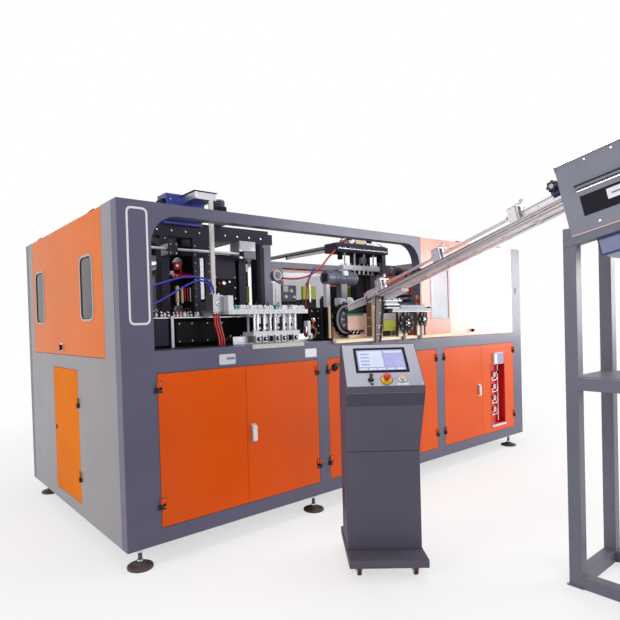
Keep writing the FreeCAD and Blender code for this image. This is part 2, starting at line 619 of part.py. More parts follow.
def main_switch():
    """The rotary switch on the third door: a drum with a short lever, on a spindle."""
    x, y, z = switch_place("-knob_depth - hinge_play")
    arm = block("switch_arm", (x + " + knob_radius / 2 * sin(knob_turn)", y,
                               z + " - knob_radius / 2 * cos(knob_turn)"),
                ("knob_arm", "knob_radius / 2", "knob_radius"))
    arm.setExpression("Placement.Rotation.Pitch", formula("-knob_turn"))
    drum = rod("switch_drum", (x, y, z), "knob_radius", "knob_depth", "Y")
    spindle = rod("switch_spindle", (x, y, z), "latch_spindle",
                  "knob_depth + hinge_play + sheet_gauge + latch_tongue", "Y")
    sub_part("main_switch", fuse("main_switch", drum, arm, spindle))


def latch_place(word, front):
    """Where a paddle latch's spindle stands on its door."""
    if word == "two":
        return ("post_left + door_split_left + latch_inset + latch_width / 2", front,
                "door_bottom + latch_rise")
    return ("bay_right_left + door_split_right - latch_inset - latch_width / 2", front,
            "door_bottom + latch_rise")


def door_latches():
    for word, label in (("two", "door_latch_left"), ("five", "door_latch_right")):
        x, _, z = latch_place(word, "0")
        paddle = rounded_block(label + "_paddle",
                               ("%s - latch_width / 2" % x, "-latch_standoff - latch_gauge",
                                "%s - latch_height + latch_width / 2" % z),
                               ("latch_width", "latch_gauge", "latch_height"),
                               "latch_width / 3", "Y")
        spindle = rod(label + "_spindle", (x, "-latch_standoff - latch_gauge / 2", z),
                      "latch_spindle",
                      "latch_standoff + latch_gauge / 2 + sheet_gauge + latch_tongue", "Y")
        sub_part(label, fuse(label, paddle, spindle))


def gauge_panel():
    """The red recess set in the sixth door, with its gauges and the white box above it."""
    left = "bay_right_left + gauge_left"
    bottom = "door_bottom + gauge_rise"
    outer = block("recess_outer", (left, "0", bottom),
                  ("gauge_width", "gauge_depth", "gauge_height"))
    inner = block("recess_inner", (left + " + sheet_gauge", "0", bottom + " + sheet_gauge"),
                  ("gauge_width - 2 * sheet_gauge", "gauge_depth - sheet_gauge",
                   "gauge_height - 2 * sheet_gauge"))
    solids = [cut("recess_pan", outer, inner)]
    for index, word in enumerate(("first", "second", "third", "fourth")):
        height = "%s + gauge_first + %d * gauge_pitch" % (bottom, index)
        solids.append(rod("gauge_" + word, (left + " + gauge_width / 3", "gauge_face", height),
                          "gauge_radius", "gauge_depth - gauge_face", "Y"))
    box_left = left + " + (gauge_width - gauge_box_width) / 2"
    solids.append(block("gauge_box", (box_left, "-gauge_box_depth", bottom + " + gauge_height"),
                        ("gauge_box_width", "gauge_box_depth", "gauge_box_height")))
    solids.append(block("gauge_bridge", (box_left, "-gauge_box_depth",
                                         bottom + " + gauge_height - sheet_gauge"),
                        ("gauge_box_width", "gauge_box_depth + sheet_gauge", "sheet_gauge")))
    sub_part("gauge_panel", fuse("gauge_panel", *solids))


def end_door():
    sheet_pan = pan("end_door", ("0", "end_door_front + door_gap", "end_door_bottom + door_gap"),
                    ("door_depth", "end_door_width - 2 * door_gap",
                     "end_door_height - 2 * door_gap"), 0)
    knuckles, bores = door_knuckles("end_door")
    sub_part("left_end_door", cut("end_door", fuse("end_door_solid", sheet_pan, *knuckles),
                                  *bores))


def top_hinges():
    """Two hinges on the upper edge of each lifting guard: name, axis, guard half, frame half."""
    half = "top_hinge_half"
    middle = "guard_depth / 2"
    height = "cabinet_top + top_hinge_radius"
    ends = (("service_near", "X", "service_left + top_hinge_inset"),
            ("service_far", "X", "bay_right_right - top_hinge_inset - top_hinge_half"),
            ("end_near", "Y", "end_guard_front + top_hinge_inset"),
            ("end_far", "Y", "end_guard_front + end_guard_width - top_hinge_inset - top_hinge_half"))
    hinges = []
    for name, axis, start in ends:
        def at(along, across=middle, level=height):
            return (along, across, level) if axis == "X" else (across, along, level)

        def size(long, wide, high):
            return (long, wide, high) if axis == "X" else (wide, long, high)
        frame_start = "%s - hinge_play - top_hinge_half" % start
        guard_half = fuse(
            name + "_guard_half",
            rod(name + "_knuckle", at(start), "top_hinge_radius", half, axis),
            block(name + "_strap", at(start, "0", "cabinet_top - door_gap"),
                  size(half, "guard_depth", "door_gap + top_hinge_radius / 2")))
        bored = cut(name + "_bored", guard_half,
                    rod(name + "_bore", at(start), "top_hinge_pin + running_fit", half, axis))
        frame_half = fuse(
            name + "_frame_half",
            rod(name + "_fixed", at(frame_start), "top_hinge_radius", half, axis),
            rod(name + "_pin", at(frame_start), "top_hinge_pin", "2 * top_hinge_half", axis),
            block(name + "_foot", at(frame_start, middle, "cabinet_top"),
                  size(half, "guard_depth * 1.5", "top_hinge_radius / 2")))
        hinges.append((name, axis, bored, frame_half))
    return hinges


def lock(name, at, axis):
    return rod(name, at, "lock_radius", "lock_depth", axis)


def guards():
    """The lifting guards: one over the right front, one over the left end."""
    service = pan("service_guard",
                  ("service_left + guard_gap / 2", "0", "guards_bottom + guard_gap"),
                  ("bay_right_right - service_left - 1.5 * guard_gap", "guard_depth",
                   "guards_height - 2 * guard_gap"), 1)
    service_lock = lock("service_lock",
                        ("service_left + service_lock_inset", "-lock_depth",
                         "guards_bottom + lock_rise"), "Y")
    end_at = ("0", "end_guard_front + guard_gap", "end_guard_bottom + guard_gap")
    end_size = ("guard_depth", "end_guard_width - 2 * guard_gap",
                "cabinet_top - end_guard_bottom - 2 * guard_gap")
    end_lock = lock("end_lock", ("-lock_depth", "end_guard_front + end_lock_inset",
                                 "end_guard_bottom + lock_rise"), "X")
    windows = []
    panes = []
    for word, front in (("near", "end_guard_front + end_window_inset"),
                        ("far", "end_guard_front + end_guard_width - end_window_far_inset"
                                " - end_window_width")):
        bottom = "end_guard_bottom + end_window_rise"
        windows.append(rounded_block("end_window_" + word, ("0", front, bottom),
                                     ("sheet_gauge", "end_window_width", "end_window_height"),
                                     "end_window_radius", "X"))
        panes.append(block("end_pane_" + word,
                           ("sheet_gauge", front + " - pane_lap", bottom + " - pane_lap"),
                           ("pane_gauge", "end_window_width + 2 * pane_lap",
                            "end_window_height + 2 * pane_lap")))
    halves = {name: guard_half for name, _, guard_half, _ in top_hinges_made}
    sub_part("service_guard", fuse("service_guard", service, service_lock,
                                   halves["service_near"], halves["service_far"]))
    end_pan = cut("end_guard_pan", pan("end_guard", end_at, end_size, 0), *windows)
    sub_part("left_guard", fuse("left_guard", end_pan, end_lock, halves["end_near"],
                                halves["end_far"]))
    sub_part("left_guard_panes", group("left_guard_panes", *panes))


def fixed_covers():
    """Orange sheets that are bolted on: window guard, back, right end and an inner cover."""
    guard = pan("window_guard", ("guards_left + guard_gap", "0", "guards_bottom + guard_gap"),
                ("window_guard_width - 1.5 * guard_gap", "guard_depth",
                 "guards_height - 2 * guard_gap"), 1)
    window_at = ("guards_left + window_inset", "0", "guards_bottom + window_rise")
    window = block("guard_window", window_at, ("window_width", "sheet_gauge", "window_height"))
    covers = [cut("window_guard_cut", guard, window)]
    for word, left, width in (("left", "post_left", "bay_left"),
                              ("middle", "bay_middle_left", "bay_middle"),
                              ("right", "bay_right_left", "bay_right")):
        covers.append(block("back_cover_" + word,
                            (left, "cabinet_depth - sheet_gauge", "door_bottom"),
                            (width, "sheet_gauge", "door_height")))
    back_guard = block("back_guard", ("guards_left", "cabinet_depth - guard_depth",
                                      "guards_bottom"),
                       ("guards_width", "sheet_gauge", "guards_height"))
    back_at = ("guards_left + back_window_inset", "cabinet_depth - guard_depth",
               "guards_bottom + back_window_rise")
    covers.append(cut("back_guard_cut", back_guard,
                      block("back_window", back_at,
                            ("back_window_width", "sheet_gauge", "back_window_height"))))
    covers.append(block("right_guard",
                        ("cabinet_length - guard_depth", "end_guard_front", "end_guard_bottom"),
                        ("sheet_gauge", "end_guard_width", "cabinet_top - end_guard_bottom")))
    covers.append(block("inner_cover", ("inner_cover_left", "front_depth", "bed_top"),
                        ("sheet_gauge", "inner_cover_depth", "inner_cover_height")))
    sub_part("fixed_covers", group("fixed_covers", *covers))
    panes = [
        block("front_pane",
              (window_at[0] + " - pane_lap", "sheet_gauge", window_at[2] + " - pane_lap"),
              ("window_width + 2 * pane_lap", "pane_gauge", "window_height + 2 * pane_lap")),
        block("back_pane",
              (back_at[0] + " - pane_lap", back_at[1] + " - pane_gauge",
               back_at[2] + " - pane_lap"),
              ("back_window_width + 2 * pane_lap", "pane_gauge",
               "back_window_height + 2 * pane_lap"))]
    sub_part("window_pane", group("window_pane", *panes))


def loading_ledge():
    front = block("ledge_front", ("ledge_left", "ledge_front", "sill_top - ledge_drop"),
                  ("ledge_right - ledge_left", "ledge_out", "ledge_drop + ledge_rise"))
    top = block("ledge_top", ("ledge_left", "ledge_front", "sill_top"),
                ("opening_right - ledge_left", "ledge_out + ledge_depth", "ledge_rise"))
    cream = block("cream_cover", ("cream_left", "cream_front", "ledge_top"),
                  ("cream_width", "cream_depth", "cream_height"))
    sub_part("loading_ledge", fuse("loading_ledge", front, top, cream))


# ---- Clamp unit ------------------------------------------------------------------------------

def clamp_base():
    top = block("base_plate", ("base_left", "base_front", "base_top - base_flange"),
                ("base_length", "base_depth", "base_flange"))
    waist = block("base_box", ("base_left + base_waist", "base_front + base_waist", "bed_top"),
                  ("base_length - 2 * base_waist", "base_depth - 2 * base_waist",
                   "base_height - base_flange"))
    brace = block("base_brace", ("brace_left", "base_front", "bed_top"),
                  ("brace_width", "base_waist", "base_height - base_flange"))
    sub_part("clamp_base", fuse("clamp_base", top, waist, brace))


def portal_side(word, front, plate_front):
    """Columns and beam of one side of the portal; the slotted plate lies on its outer face."""
    height = "portal_bottom - base_top"
    columns = [block("column_%s_%s" % (name, word), (left, front, "base_top"),
                     (width, "portal_depth", height))
               for name, left, width in (("first", "column_first", "column_first_width"),
                                         ("third", "column_third", "column_third_width"),
                                         ("last", "column_last", "column_last_width"))]
    plate = block("slot_plate_" + word, ("slot_plate_left", plate_front, "base_top"),
                  ("slot_plate_width", "slot_plate_depth", height))
    slot = rounded_block("slot_" + word, ("slot_plate_left + slot_inset", plate_front,
                                          "base_top + slot_rise"),
                         ("slot_width", "slot_plate_depth", "slot_height"), "slot_width / 2.1",
                         "Y")
    beam = block("portal_beam_" + word, ("portal_left", front, "portal_bottom"),
                 ("portal_length", "portal_depth", "portal_height"))
    return columns + [cut("slotted_plate_" + word, plate, slot), beam]


def cavity_places():
    """The four cavities' X, from the middle of the mould."""
    middle = "mould_left + mould_length / 2"
    return ["%s + (%s) * cavity_pitch" % (middle, step) for step in ("-1.5", "-0.5", "0.5", "1.5")]


def clamp_portal():
    back = "2 * clamp_middle - portal_front - portal_depth"
    plate_back = "2 * clamp_middle - portal_front - slot_plate_depth"
    solids = portal_side("front", "portal_front", "portal_front")
    solids += portal_side("back", back, plate_back)
    solids.append(block("top_plate", ("portal_left + top_plate_inset", "portal_front",
                                      "portal_top"),
                        ("portal_length - 2 * top_plate_inset",
                         "2 * (clamp_middle - portal_front)", "top_plate")))
    nozzle_bottom = "mould_bottom + mould_height + nozzle_gap"
    bores = []
    for index, x in enumerate(cavity_places()):
        solids.append(rod("nozzle_%d" % index, (x, "clamp_middle", nozzle_bottom),
                          "nozzle_radius", "portal_top + top_plate - (%s)" % nozzle_bottom))
        bores.append(rod("nozzle_bore_%d" % index, (x, "clamp_middle", nozzle_bottom),
                         "stretch_radius + running_fit",
                         "portal_top + top_plate - (%s)" % nozzle_bottom))
    sub_part("clamp_portal", cut("clamp_portal", fuse("portal_solid", *solids), *bores))


def mirrored_front(front, depth):
    """The near face, behind the clamp's middle, of a block that has its twin in front of it."""
    return "2 * clamp_middle - (%s) - (%s)" % (front, depth)


def tie_places():
    left = "fixed_platen_left + tie_inset"
    right = "fixed_platen_left + fixed_platen_length - tie_inset"
    return [(x, "base_top + %s" % level) for x in (left, right)
            for level in ("tie_low", "tie_high")]


def fixed_platens():
    """Two fixed platens, each with the cylinder that moves its half of the mould."""
    solids = []
    for word, front in (("front", "platen_front"),
                        ("back", mirrored_front("platen_front", "fixed_platen_depth"))):
        plate = block("platen_" + word, ("fixed_platen_left", front, "base_top"),
                      ("fixed_platen_length", "fixed_platen_depth", "fixed_platen_height"))
        outer = "platen_front - barrel_length" if word == "front" else \
            "%s + fixed_platen_depth" % front
        barrel = rod("barrel_" + word, ("barrel_x", outer, "barrel_z"), "barrel_radius",
                     "barrel_length", "Y")
        bore_start = "%s + barrel_end" % outer if word == "front" else front
        bores = [rod("barrel_bore_" + word, ("barrel_x", bore_start, "barrel_z"),
                     "piston_radius + running_fit",
                     "barrel_length - barrel_end + fixed_platen_depth", "Y")]
        for index, (x, z) in enumerate(tie_places()):
            bores.append(rod("tie_bore_%s_%d" % (word, index), (x, front, z), "tie_radius",
                             "fixed_platen_depth", "Y"))
        solids.append(cut("platen_%s_bored" % word, fuse("platen_%s_solid" % word, plate, barrel),
                          *bores))
    sub_part("fixed_platens", group("fixed_platens", *solids))


def tie_bars():
    bars = []
    length = "2 * (clamp_middle - platen_front)"
    for index, (x, z) in enumerate(tie_places()):
        name = "tie_bar_%d" % index
        bars.append(fuse(
            name,
            rod(name + "_shank", (x, "platen_front", z), "tie_radius", length, "Y"),
            rod(name + "_nut_front", (x, "platen_front - tie_nut_length", z), "tie_nut",
                "tie_nut_length", "Y"),
            rod(name + "_nut_back", (x, "platen_front + %s" % length, z), "tie_nut",
                "tie_nut_length", "Y")))
    sub_part("tie_bars", group("tie_bars", *bars))


def mould_half(word):
    """A moving platen with its holder and piston rod, and the mould inserts seated on it."""
    is_front = word == "front"
    def start(front, depth):
        return front if is_front else mirrored_front(front, depth)
    platen_left = "mould_left - moving_platen_lap"
    platen = block("moving_platen_" + word,
                   (platen_left, start("moving_back", "moving_platen_depth"),
                    "base_top + moving_platen_rise"),
                   ("mould_length + 2 * moving_platen_lap", "moving_platen_depth",
                    "moving_platen_height"))
    holder = block("mould_holder_" + word,
                   ("mould_left", start("mould_face - mould_depth", "holder_depth"),
                    "mould_bottom"), ("mould_length", "holder_depth", "mould_height"))
    rod_length = "moving_back - platen_front + barrel_length - 2 * barrel_end"
    piston = rod("piston_" + word,
                 ("barrel_x", start("moving_back - (%s)" % rod_length, rod_length), "barrel_z"),
                 "piston_radius", rod_length, "Y")
    face = "mould_face" if is_front else "clamp_middle + mould_open"
    bores = []
    for index, (x, z) in enumerate(tie_places()):
        bores.append(rod("slide_bore_%s_%d" % (word, index),
                         (x, start("moving_back", "moving_platen_depth"), z),
                         "tie_radius + running_fit", "moving_platen_depth", "Y"))
    carrier = cut("mould_carrier_" + word,
                  fuse("mould_solid_" + word, platen, holder, piston), *bores)
    insert_depth = "mould_depth - holder_depth"
    inserts = []
    for index, x in enumerate(cavity_places()):
        insert = block("mould_insert_%s_%d" % (word, index),
                       ("%s - (cavity_pitch - insert_gap) / 2" % x,
                        start("mould_face - (%s)" % insert_depth, insert_depth), "mould_bottom"),
                       ("cavity_pitch - insert_gap", insert_depth, "mould_height"))
        at = (x, face, "mould_bottom + cavity_rise")
        inserts.append(cut("mould_half_%s_%d" % (word, index), insert,
                           rod("cavity_%s_%d" % (word, index), at, "cavity_radius",
                               "cavity_height"),
                           rod("neck_%s_%d" % (word, index), at, "neck_radius",
                               "mould_height - cavity_rise")))
    sub_part(word + "_mould", group("mould_" + word, carrier, *inserts))


def stretch_bar():
    """The crossbar above the top plate, with a stretch rod for each cavity."""
    bar = block("stretch_cross", ("mould_left + mould_length / 2 - 1.5 * cavity_pitch"
                                  " - stretch_overhang", "clamp_middle - stretch_bar_width / 2",
                                  "stretch_bar_bottom"),
                ("3 * cavity_pitch + 2 * stretch_overhang", "stretch_bar_width",
                 "stretch_bar_height"))
    rods = [rod("stretch_rod_%d" % index, (x, "clamp_middle", "stretch_tip"), "stretch_radius",
                "stretch_bar_bottom - stretch_tip") for index, x in enumerate(cavity_places())]
    sub_part("stretch_bar", fuse("stretch_bar", bar, *rods))


def stretch_drive():
    """The blue drive box on the portal's beam, which carries the guide rod's cap."""
    box = block("drive_box", ("drive_left", "drive_front", "portal_top + top_plate"),
                ("drive_width", "drive_depth", "drive_height"))
    foot = block("drive_foot", ("drive_left", "portal_front - drive_foot - 2 * sheet_gauge",
                                "portal_top"),
                 ("drive_width", "drive_foot + 2 * sheet_gauge", "top_plate"))
    sub_part("stretch_drive", fuse("stretch_drive", box, foot))


def rods_and_blocks():
    """The tall rod under its cap, the cross rod in its clamp, and the two air blocks."""
    cap = block("rod_cap", ("cap_left", "cap_front", "cap_bottom"),
                ("cap_width", "drive_front - cap_front", "cap_height"))
    top = "hose_block_bottom + hose_block_height"
    tall = rod("tall_rod", ("guide_rod_x", "guide_rod_y", top), "guide_rod_radius",
               "cap_bottom - (%s)" % top)
    cross = rod("cross_rod", ("cross_rod_left", "cross_rod_y", "cross_rod_z"),
                "cross_rod_radius", "air_block_left - cross_rod_left", "X")
    clamp = block("rod_clamp", ("column_first", "rod_clamp_front",
                                "cross_rod_z - rod_clamp_height / 2"),
                  ("rod_clamp_width", "portal_front - rod_clamp_front", "rod_clamp_height"))
    upper = block("air_block", ("air_block_left", "air_block_front", "air_block_bottom"),
                  ("air_block_width", "portal_front - air_block_front", "air_block_height"))
    lower = block("hose_block", ("hose_block_left", "hose_block_front", "hose_block_bottom"),
                  ("hose_block_width", "hose_block_depth", "hose_block_height"))
    arm = block("hose_arm", ("hose_block_left", "hose_block_front + hose_block_depth",
                             "hose_block_bottom"),
                ("hose_block_width", "base_front + hose_foot - hose_block_front"
                                     " - hose_block_depth", "hose_arm"))
    foot = block("hose_foot", ("hose_block_left", "base_front", "base_top"),
                 ("hose_block_width", "hose_foot", "hose_block_bottom - base_top"))
    sub_part("rods_and_blocks", group("rods_and_blocks", fuse("cap_and_rod", cap, tall),
                                      fuse("cross_and_clamp", cross, clamp), upper,
                                      fuse("lower_block", lower, arm, foot)))


def lime_covers():
    """Lime green pads on the fixed platen, and the lime cover beside the loading wheel."""
    pads = [block("lime_pad_" + word, (left, "platen_front - lime_pad_depth", "lime_pad_bottom"),
                  ("lime_pad_width", "lime_pad_depth", "lime_pad_height"))
            for word, left in (("first", "lime_pad_first"), ("second", "lime_pad_second"))]
    cover = block("lime_cover", ("lime_cover_left", "lime_cover_front", "ledge_top"),
                  ("lime_cover_width", "lime_cover_depth", "lime_cover_height"))
    sub_part("lime_covers", group("lime_covers", cover, *pads))


# ---- Transfer unit ---------------------------------------------------------------------------

def transfer_rail():
    sub_part("transfer_rail", block("transfer_rail", ("rail_left", "rail_front", "bed_top"),
                                    ("ledge_left - rail_left", "rail_depth", "rail_height")))


def transfer_carriage():
    plate = block("carriage_plate", ("carriage_left", "carriage_front", "plate_bottom"),
                  ("carriage_length", "carriage_depth", "carriage_plate"))
    lower = block("carriage_lower", ("carriage_lower_left", "carriage_front", "lower_bottom"),
                  ("carriage_lower_length", "carriage_depth", "carriage_lower"))
    apron = block("carriage_apron", ("apron_left", "carriage_front", "lower_bottom - apron_height"),
                  ("apron_length", "apron_gauge", "apron_height"))
    upright = block("carriage_upright", ("carriage_left", "carriage_front", "carriage_top"),
                    ("upright_width", "carriage_depth", "upright_height"))
    rods = []
    span = "(carriage_lower_length - 2 * carriage_rod_inset) / (carriage_rods - 1)"
    for index in range(int(SIZES["carriage_rods"])):
        x = "carriage_lower_left + carriage_rod_inset + %d * %s" % (index, span)
        for row, y in (("near", "carriage_front + carriage_rod_inset"),
                       ("far", "carriage_front + carriage_depth - carriage_rod_inset")):
            rods.append(rod("carriage_rod_%s_%d" % (row, index),
                            (x, y, "lower_bottom + carriage_lower"), "carriage_rod",
                            "plate_bottom - (lower_bottom + carriage_lower)"))
    valves = [block("valve_" + word, ("carriage_left + %s" % inset, "carriage_front + apron_gauge",
                                      "carriage_top"),
                    ("valve_width", "valve_depth", "valve_height"))
              for word, inset in (("first", "2 * valve_width"), ("second", "4 * valve_width"),
                                  ("third", "carriage_length - 5 * valve_width"),
                                  ("fourth", "carriage_length - 3 * valve_width"))]
    sub_part("transfer_carriage", fuse("transfer_carriage", plate, lower, apron, upright,
                                       *(rods + valves)))


# ---- Gripper bridge, loading wheel and motors --------------------------------------------------

def gripper_rod_places():
    step = "(gripper_length - 2 * gripper_depth) / (gripper_rods - 1)"
    return ["gripper_left + gripper_depth + %d * %s" % (index, step)
            for index in range(int(SIZES["gripper_rods"]))]


def gripper_bridge():
    beam = block("bridge_beam", ("bridge_left", "bridge_front", "bridge_bottom"),
                 ("bridge_length", "bridge_reach + bridge_column_depth", "bridge_height"))
    columns = [block("bridge_column_wide", ("bridge_column_left", "bridge_back", "bed_top"),
                     ("bridge_column_width", "bridge_column_depth", "bridge_bottom - bed_top")),
               block("bridge_column_narrow", ("bridge_second", "bridge_back", "bed_top"),
                     ("bridge_column_narrow", "bridge_column_depth", "bridge_bottom - bed_top"))]
    valve = block("bridge_valve", ("bridge_valve_left", "bridge_back",
                                   "bridge_bottom + bridge_height"),
                  ("bridge_valve_width", "bridge_column_depth", "bridge_valve_height"))
    bores = [rod("bridge_bore_%d" % index, (x, "gripper_front + gripper_depth / 2",
                                            "bridge_bottom"),
                 "gripper_rod + running_fit", "bridge_height")
             for index, x in enumerate(gripper_rod_places())]
    sub_part("gripper_bridge", cut("gripper_bridge",
                                   fuse("bridge_solid", beam, valve, *(columns + lamp_rail())),
                                   *bores))


def lamp_rail():
    """A flat rail along the depth of the machine, with a lamp tube between two holders."""
    rail_bottom = "bridge_bottom + bridge_height - lamp_rail_height"
    start = "bridge_back + bridge_column_depth"
    middle = "lamp_rail_left + lamp_rail_width / 2"
    axis = rail_bottom + " - lamp_gap - lamp_radius"
    parts = [block("lamp_rail", ("lamp_rail_left", start, rail_bottom),
                   ("lamp_rail_width", "back_face - (%s)" % start, "lamp_rail_height")),
             rod("lamp_tube", (middle, "lamp_start + lamp_holder", axis), "lamp_radius",
                 "lamp_length - 2 * lamp_holder", "Y")]
    for word, y in (("near", "lamp_start"), ("far", "lamp_start + lamp_length - lamp_holder")):
        parts.append(block("lamp_holder_" + word,
                           (middle + " - lamp_radius", y, axis + " - lamp_radius"),
                           ("2 * lamp_radius", "lamp_holder", "2 * lamp_radius + lamp_gap")))
    return parts


def gripper_bar():
    bar = block("gripper_beam", ("gripper_left", "gripper_front", "gripper_bottom"),
                ("gripper_length", "gripper_depth", "gripper_height"))
    rods = [rod("gripper_rod_%d" % index, (x, "gripper_front + gripper_depth / 2",
                                           "gripper_bottom + gripper_height"), "gripper_rod",
                "gripper_rod_top - gripper_bottom - gripper_height")
            for index, x in enumerate(gripper_rod_places())]
    step = "(gripper_length - gripper_finger) / (gripper_fingers - 1)"
    fingers = [block("gripper_finger_%d" % index,
                     ("gripper_left + %d * %s" % (index, step), "gripper_front",
                      "gripper_bottom - gripper_finger_height"),
                     ("gripper_finger", "gripper_depth", "gripper_finger_height"))
               for index in range(int(SIZES["gripper_fingers"]))]
    sub_part("gripper_bar", fuse("gripper_bar", bar, *(rods + fingers)))


def toothed_wheel(name, at, radius, depth, teeth, tooth, parts):
    """A disc with round teeth on its rim; its axis runs along Y."""
    x, y, z = at
    solids = [rod(name + "_disc", at, radius, depth, "Y")]
    for index in range(int(SIZES[teeth])):
        turn = "(%d * 360 / %s)" % (index, teeth)
        solids.append(rod("%s_tooth_%d" % (name, index),
                          ("%s + %s * cos%s" % (x, radius, turn), y,
                           "%s + %s * sin%s" % (z, radius, turn)), tooth, depth, "Y"))
    return fuse(name, *(solids + parts))


def loading_wheel():
    at = ("wheel_x", "wheel_front", "wheel_z")
    shaft = rod("wheel_shaft", at, "wheel_shaft",
                "housing_back + housing_depth / 2 - wheel_front", "Y")
    hub = rod("wheel_hub", ("wheel_x", "wheel_front - wheel_shaft", "wheel_z"), "wheel_hub",
              "wheel_shaft", "Y")
    sub_part("loading_wheel", toothed_wheel("loading_wheel", at, "wheel_radius", "wheel_depth",
                                            "wheel_teeth", "tooth_radius", [shaft, hub]))


def loader_housing():
    skin = block("housing_skin", ("housing_skin_left", "housing_front", "ledge_top"),
                 ("housing_right - housing_skin_left", "housing_skin", "housing_height"))
    back = block("housing_box", ("housing_left", "housing_back", "bed_top"),
                 ("housing_right - housing_left", "housing_depth",
                  "housing_height + ledge_rise"))
    web = block("housing_web", ("housing_web", "housing_front + housing_skin", "ledge_top"),
                ("housing_right - housing_web", "housing_back - housing_front - housing_skin",
                 "housing_height"))
    bore = rod("housing_bore", ("wheel_x", "housing_back", "wheel_z"),
               "wheel_shaft + running_fit", "housing_depth", "Y")
    sub_part("loader_housing", cut("loader_housing", fuse("housing_solid", skin, back, web),
                                   bore))


def drive_motors():
    """Loading motor on its stand, gear motor on the bridge, stretch motor and oven blower."""
    loader = fuse("loader_motor",
                  rod("loader_motor_body", ("motor_left", "motor_y", "motor_z"), "motor_radius",
                      "motor_length", "X"),
                  block("loader_motor_stand", ("motor_stand_left",
                                               "motor_y - motor_stand_depth / 2",
                                               "bed_top + housing_height + ledge_rise"),
                        ("motor_stand_width", "motor_stand_depth",
                         "motor_z - (bed_top + housing_height + ledge_rise)")))
    gear = fuse("gear_motor",
                block("gearbox", ("bridge_right", "bridge_front", "gearbox_bottom"),
                      ("gearbox_width", "bridge_reach", "gearbox_height")),
                block("gearbox_hanger", ("bridge_right - gearbox_hanger", "bridge_front",
                                         "gearbox_bottom"),
                      ("gearbox_hanger", "bridge_reach", "bridge_bottom - gearbox_bottom")),
                rod("gear_motor_body", ("bridge_right + gearbox_width",
                                        "bridge_front + bridge_reach / 2",
                                        "gearbox_bottom + gearbox_height / 2"),
                    "gear_motor_radius", "gear_motor_length", "X"))
    stretch = fuse("stretch_motor",
                   rod("stretch_motor_body", ("stretch_motor_x", "stretch_motor_y",
                                              "plate_top"), "stretch_motor_radius",
                       "stretch_motor_height"),
                   block("stretch_motor_shelf",
                         ("stretch_motor_x - stretch_motor_radius",
                          "stretch_motor_y - stretch_motor_radius", "plate_top"),
                         ("2 * stretch_motor_radius",
                          "portal_front + portal_depth - stretch_motor_y + stretch_motor_radius",
                          "motor_shelf")))
    blower = fuse("oven_blower",
                  rod("blower_drum", ("blower_x", "blower_y", "blower_z"), "blower_radius",
                      "blower_width", "Y"),
                  block("blower_stand", ("blower_x - blower_foot / 2", "blower_y", "bed_top"),
                        ("blower_foot", "blower_width", "blower_z - bed_top")))
    sub_part("drive_motors", group("drive_motors", loader, gear, stretch, blower))


def oven():
    """Two walls with a slot between them for the preforms, and lamp tubes along the slot."""
    wall = "(oven_depth - oven_slot) / 2"
    floor = block("oven_floor", ("oven_left", "oven_front", "bed_top"),
                  ("oven_length", "oven_depth", "lamp_pitch"))
    solids = [floor]
    for word, front in (("near", "oven_front"), ("far", "oven_front + %s + oven_slot" % wall)):
        solids.append(block("oven_wall_" + word, ("oven_left", front, "bed_top"),
                            ("oven_length", wall, "oven_height")))
    for index in range(int(SIZES["lamp_rows"])):
        solids.append(rod("lamp_%d" % index,
                          ("oven_left", "oven_front + %s" % wall,
                           "bed_top + lamp_rise + %d * lamp_pitch" % index), "lamp_radius",
                          "oven_length", "X"))
    sub_part("oven_body", fuse("oven_body", *solids))


def control_cabinet():
    outer = block("control_box", ("control_left", "control_front", "cabinet_base + floor_sheet"),
                  ("control_length", "control_depth", "control_height"))
    sub_part("control_cabinet", outer)


# ---- Chute -----------------------------------------------------------------------------------

def chute_rails():
    """Grooved rails on a slotted floor, cut off where they meet the hopper's near wall."""
    low = "-chute_height / 2"
    start = "-chute_start"
    length = "chute_start + chute_length"
    solids = []
    grooves = []
    for word, left, groove in (("near", "-chute_width / 2", "-chute_width / 2"),
                               ("far", "chute_width / 2 - rail_wall",
                                "chute_width / 2 - rail_groove")):
        solids.append(block("rail_" + word, (left, start, low),
                            ("rail_wall", length, "chute_height"), LOCAL))
        grooves.append(block("groove_" + word, (groove, start, "-rail_groove_height / 2"),
                             ("rail_groove", length, "rail_groove_height"), LOCAL))
    solids.append(block("chute_floor", ("-chute_width / 2", start, low + " - chute_floor"),
                        ("chute_width", length, "chute_floor"), LOCAL))
    slots = [block("floor_slot_%d" % index,
                   ("-floor_slot / 2", "rail_wall + %d * floor_slot_pitch" % index,
                    low + " - chute_floor"), ("floor_slot", "floor_slot_length", "chute_floor"),
                   LOCAL) for index in range(int(SIZES["floor_slots"]))]
    rails = cut("rails_grooved", fuse("rails_solid", *solids), *(grooves + slots))
    behind = block("behind_hopper", ("-hopper_flare", "-hopper_length", "-hopper_height"),
                   ("hopper_width + 2 * hopper_flare", "hopper_length", "3 * hopper_height"),
                   LOCAL)
    upper = cut("chute_upper", place(rails, **CHUTE),
                place(group("behind_hopper_turned", behind), **HOPPER))
    infeed = [block("infeed_" + word, (left, "-infeed_root", "-infeed_rise"),
                    ("infeed_gauge", "infeed_root + infeed_length", "infeed_height"), LOCAL)
              for word, left in (("near", "-infeed_gap / 2 - infeed_gauge"),
                                 ("far", "infeed_gap / 2"))]
    infeed.append(block("infeed_plate", ("-infeed_gap / 2 - infeed_gauge", "-infeed_root",
                                         "-infeed_rise - infeed_gauge"),
                        ("infeed_gap + 2 * infeed_gauge", "infeed_root + infeed_gap",
                         "infeed_gauge"), LOCAL))
    lower = place(fuse("infeed_rails", *infeed), **INFEED)
    sub_part("chute_rails", fuse("chute_rails", upper, lower))


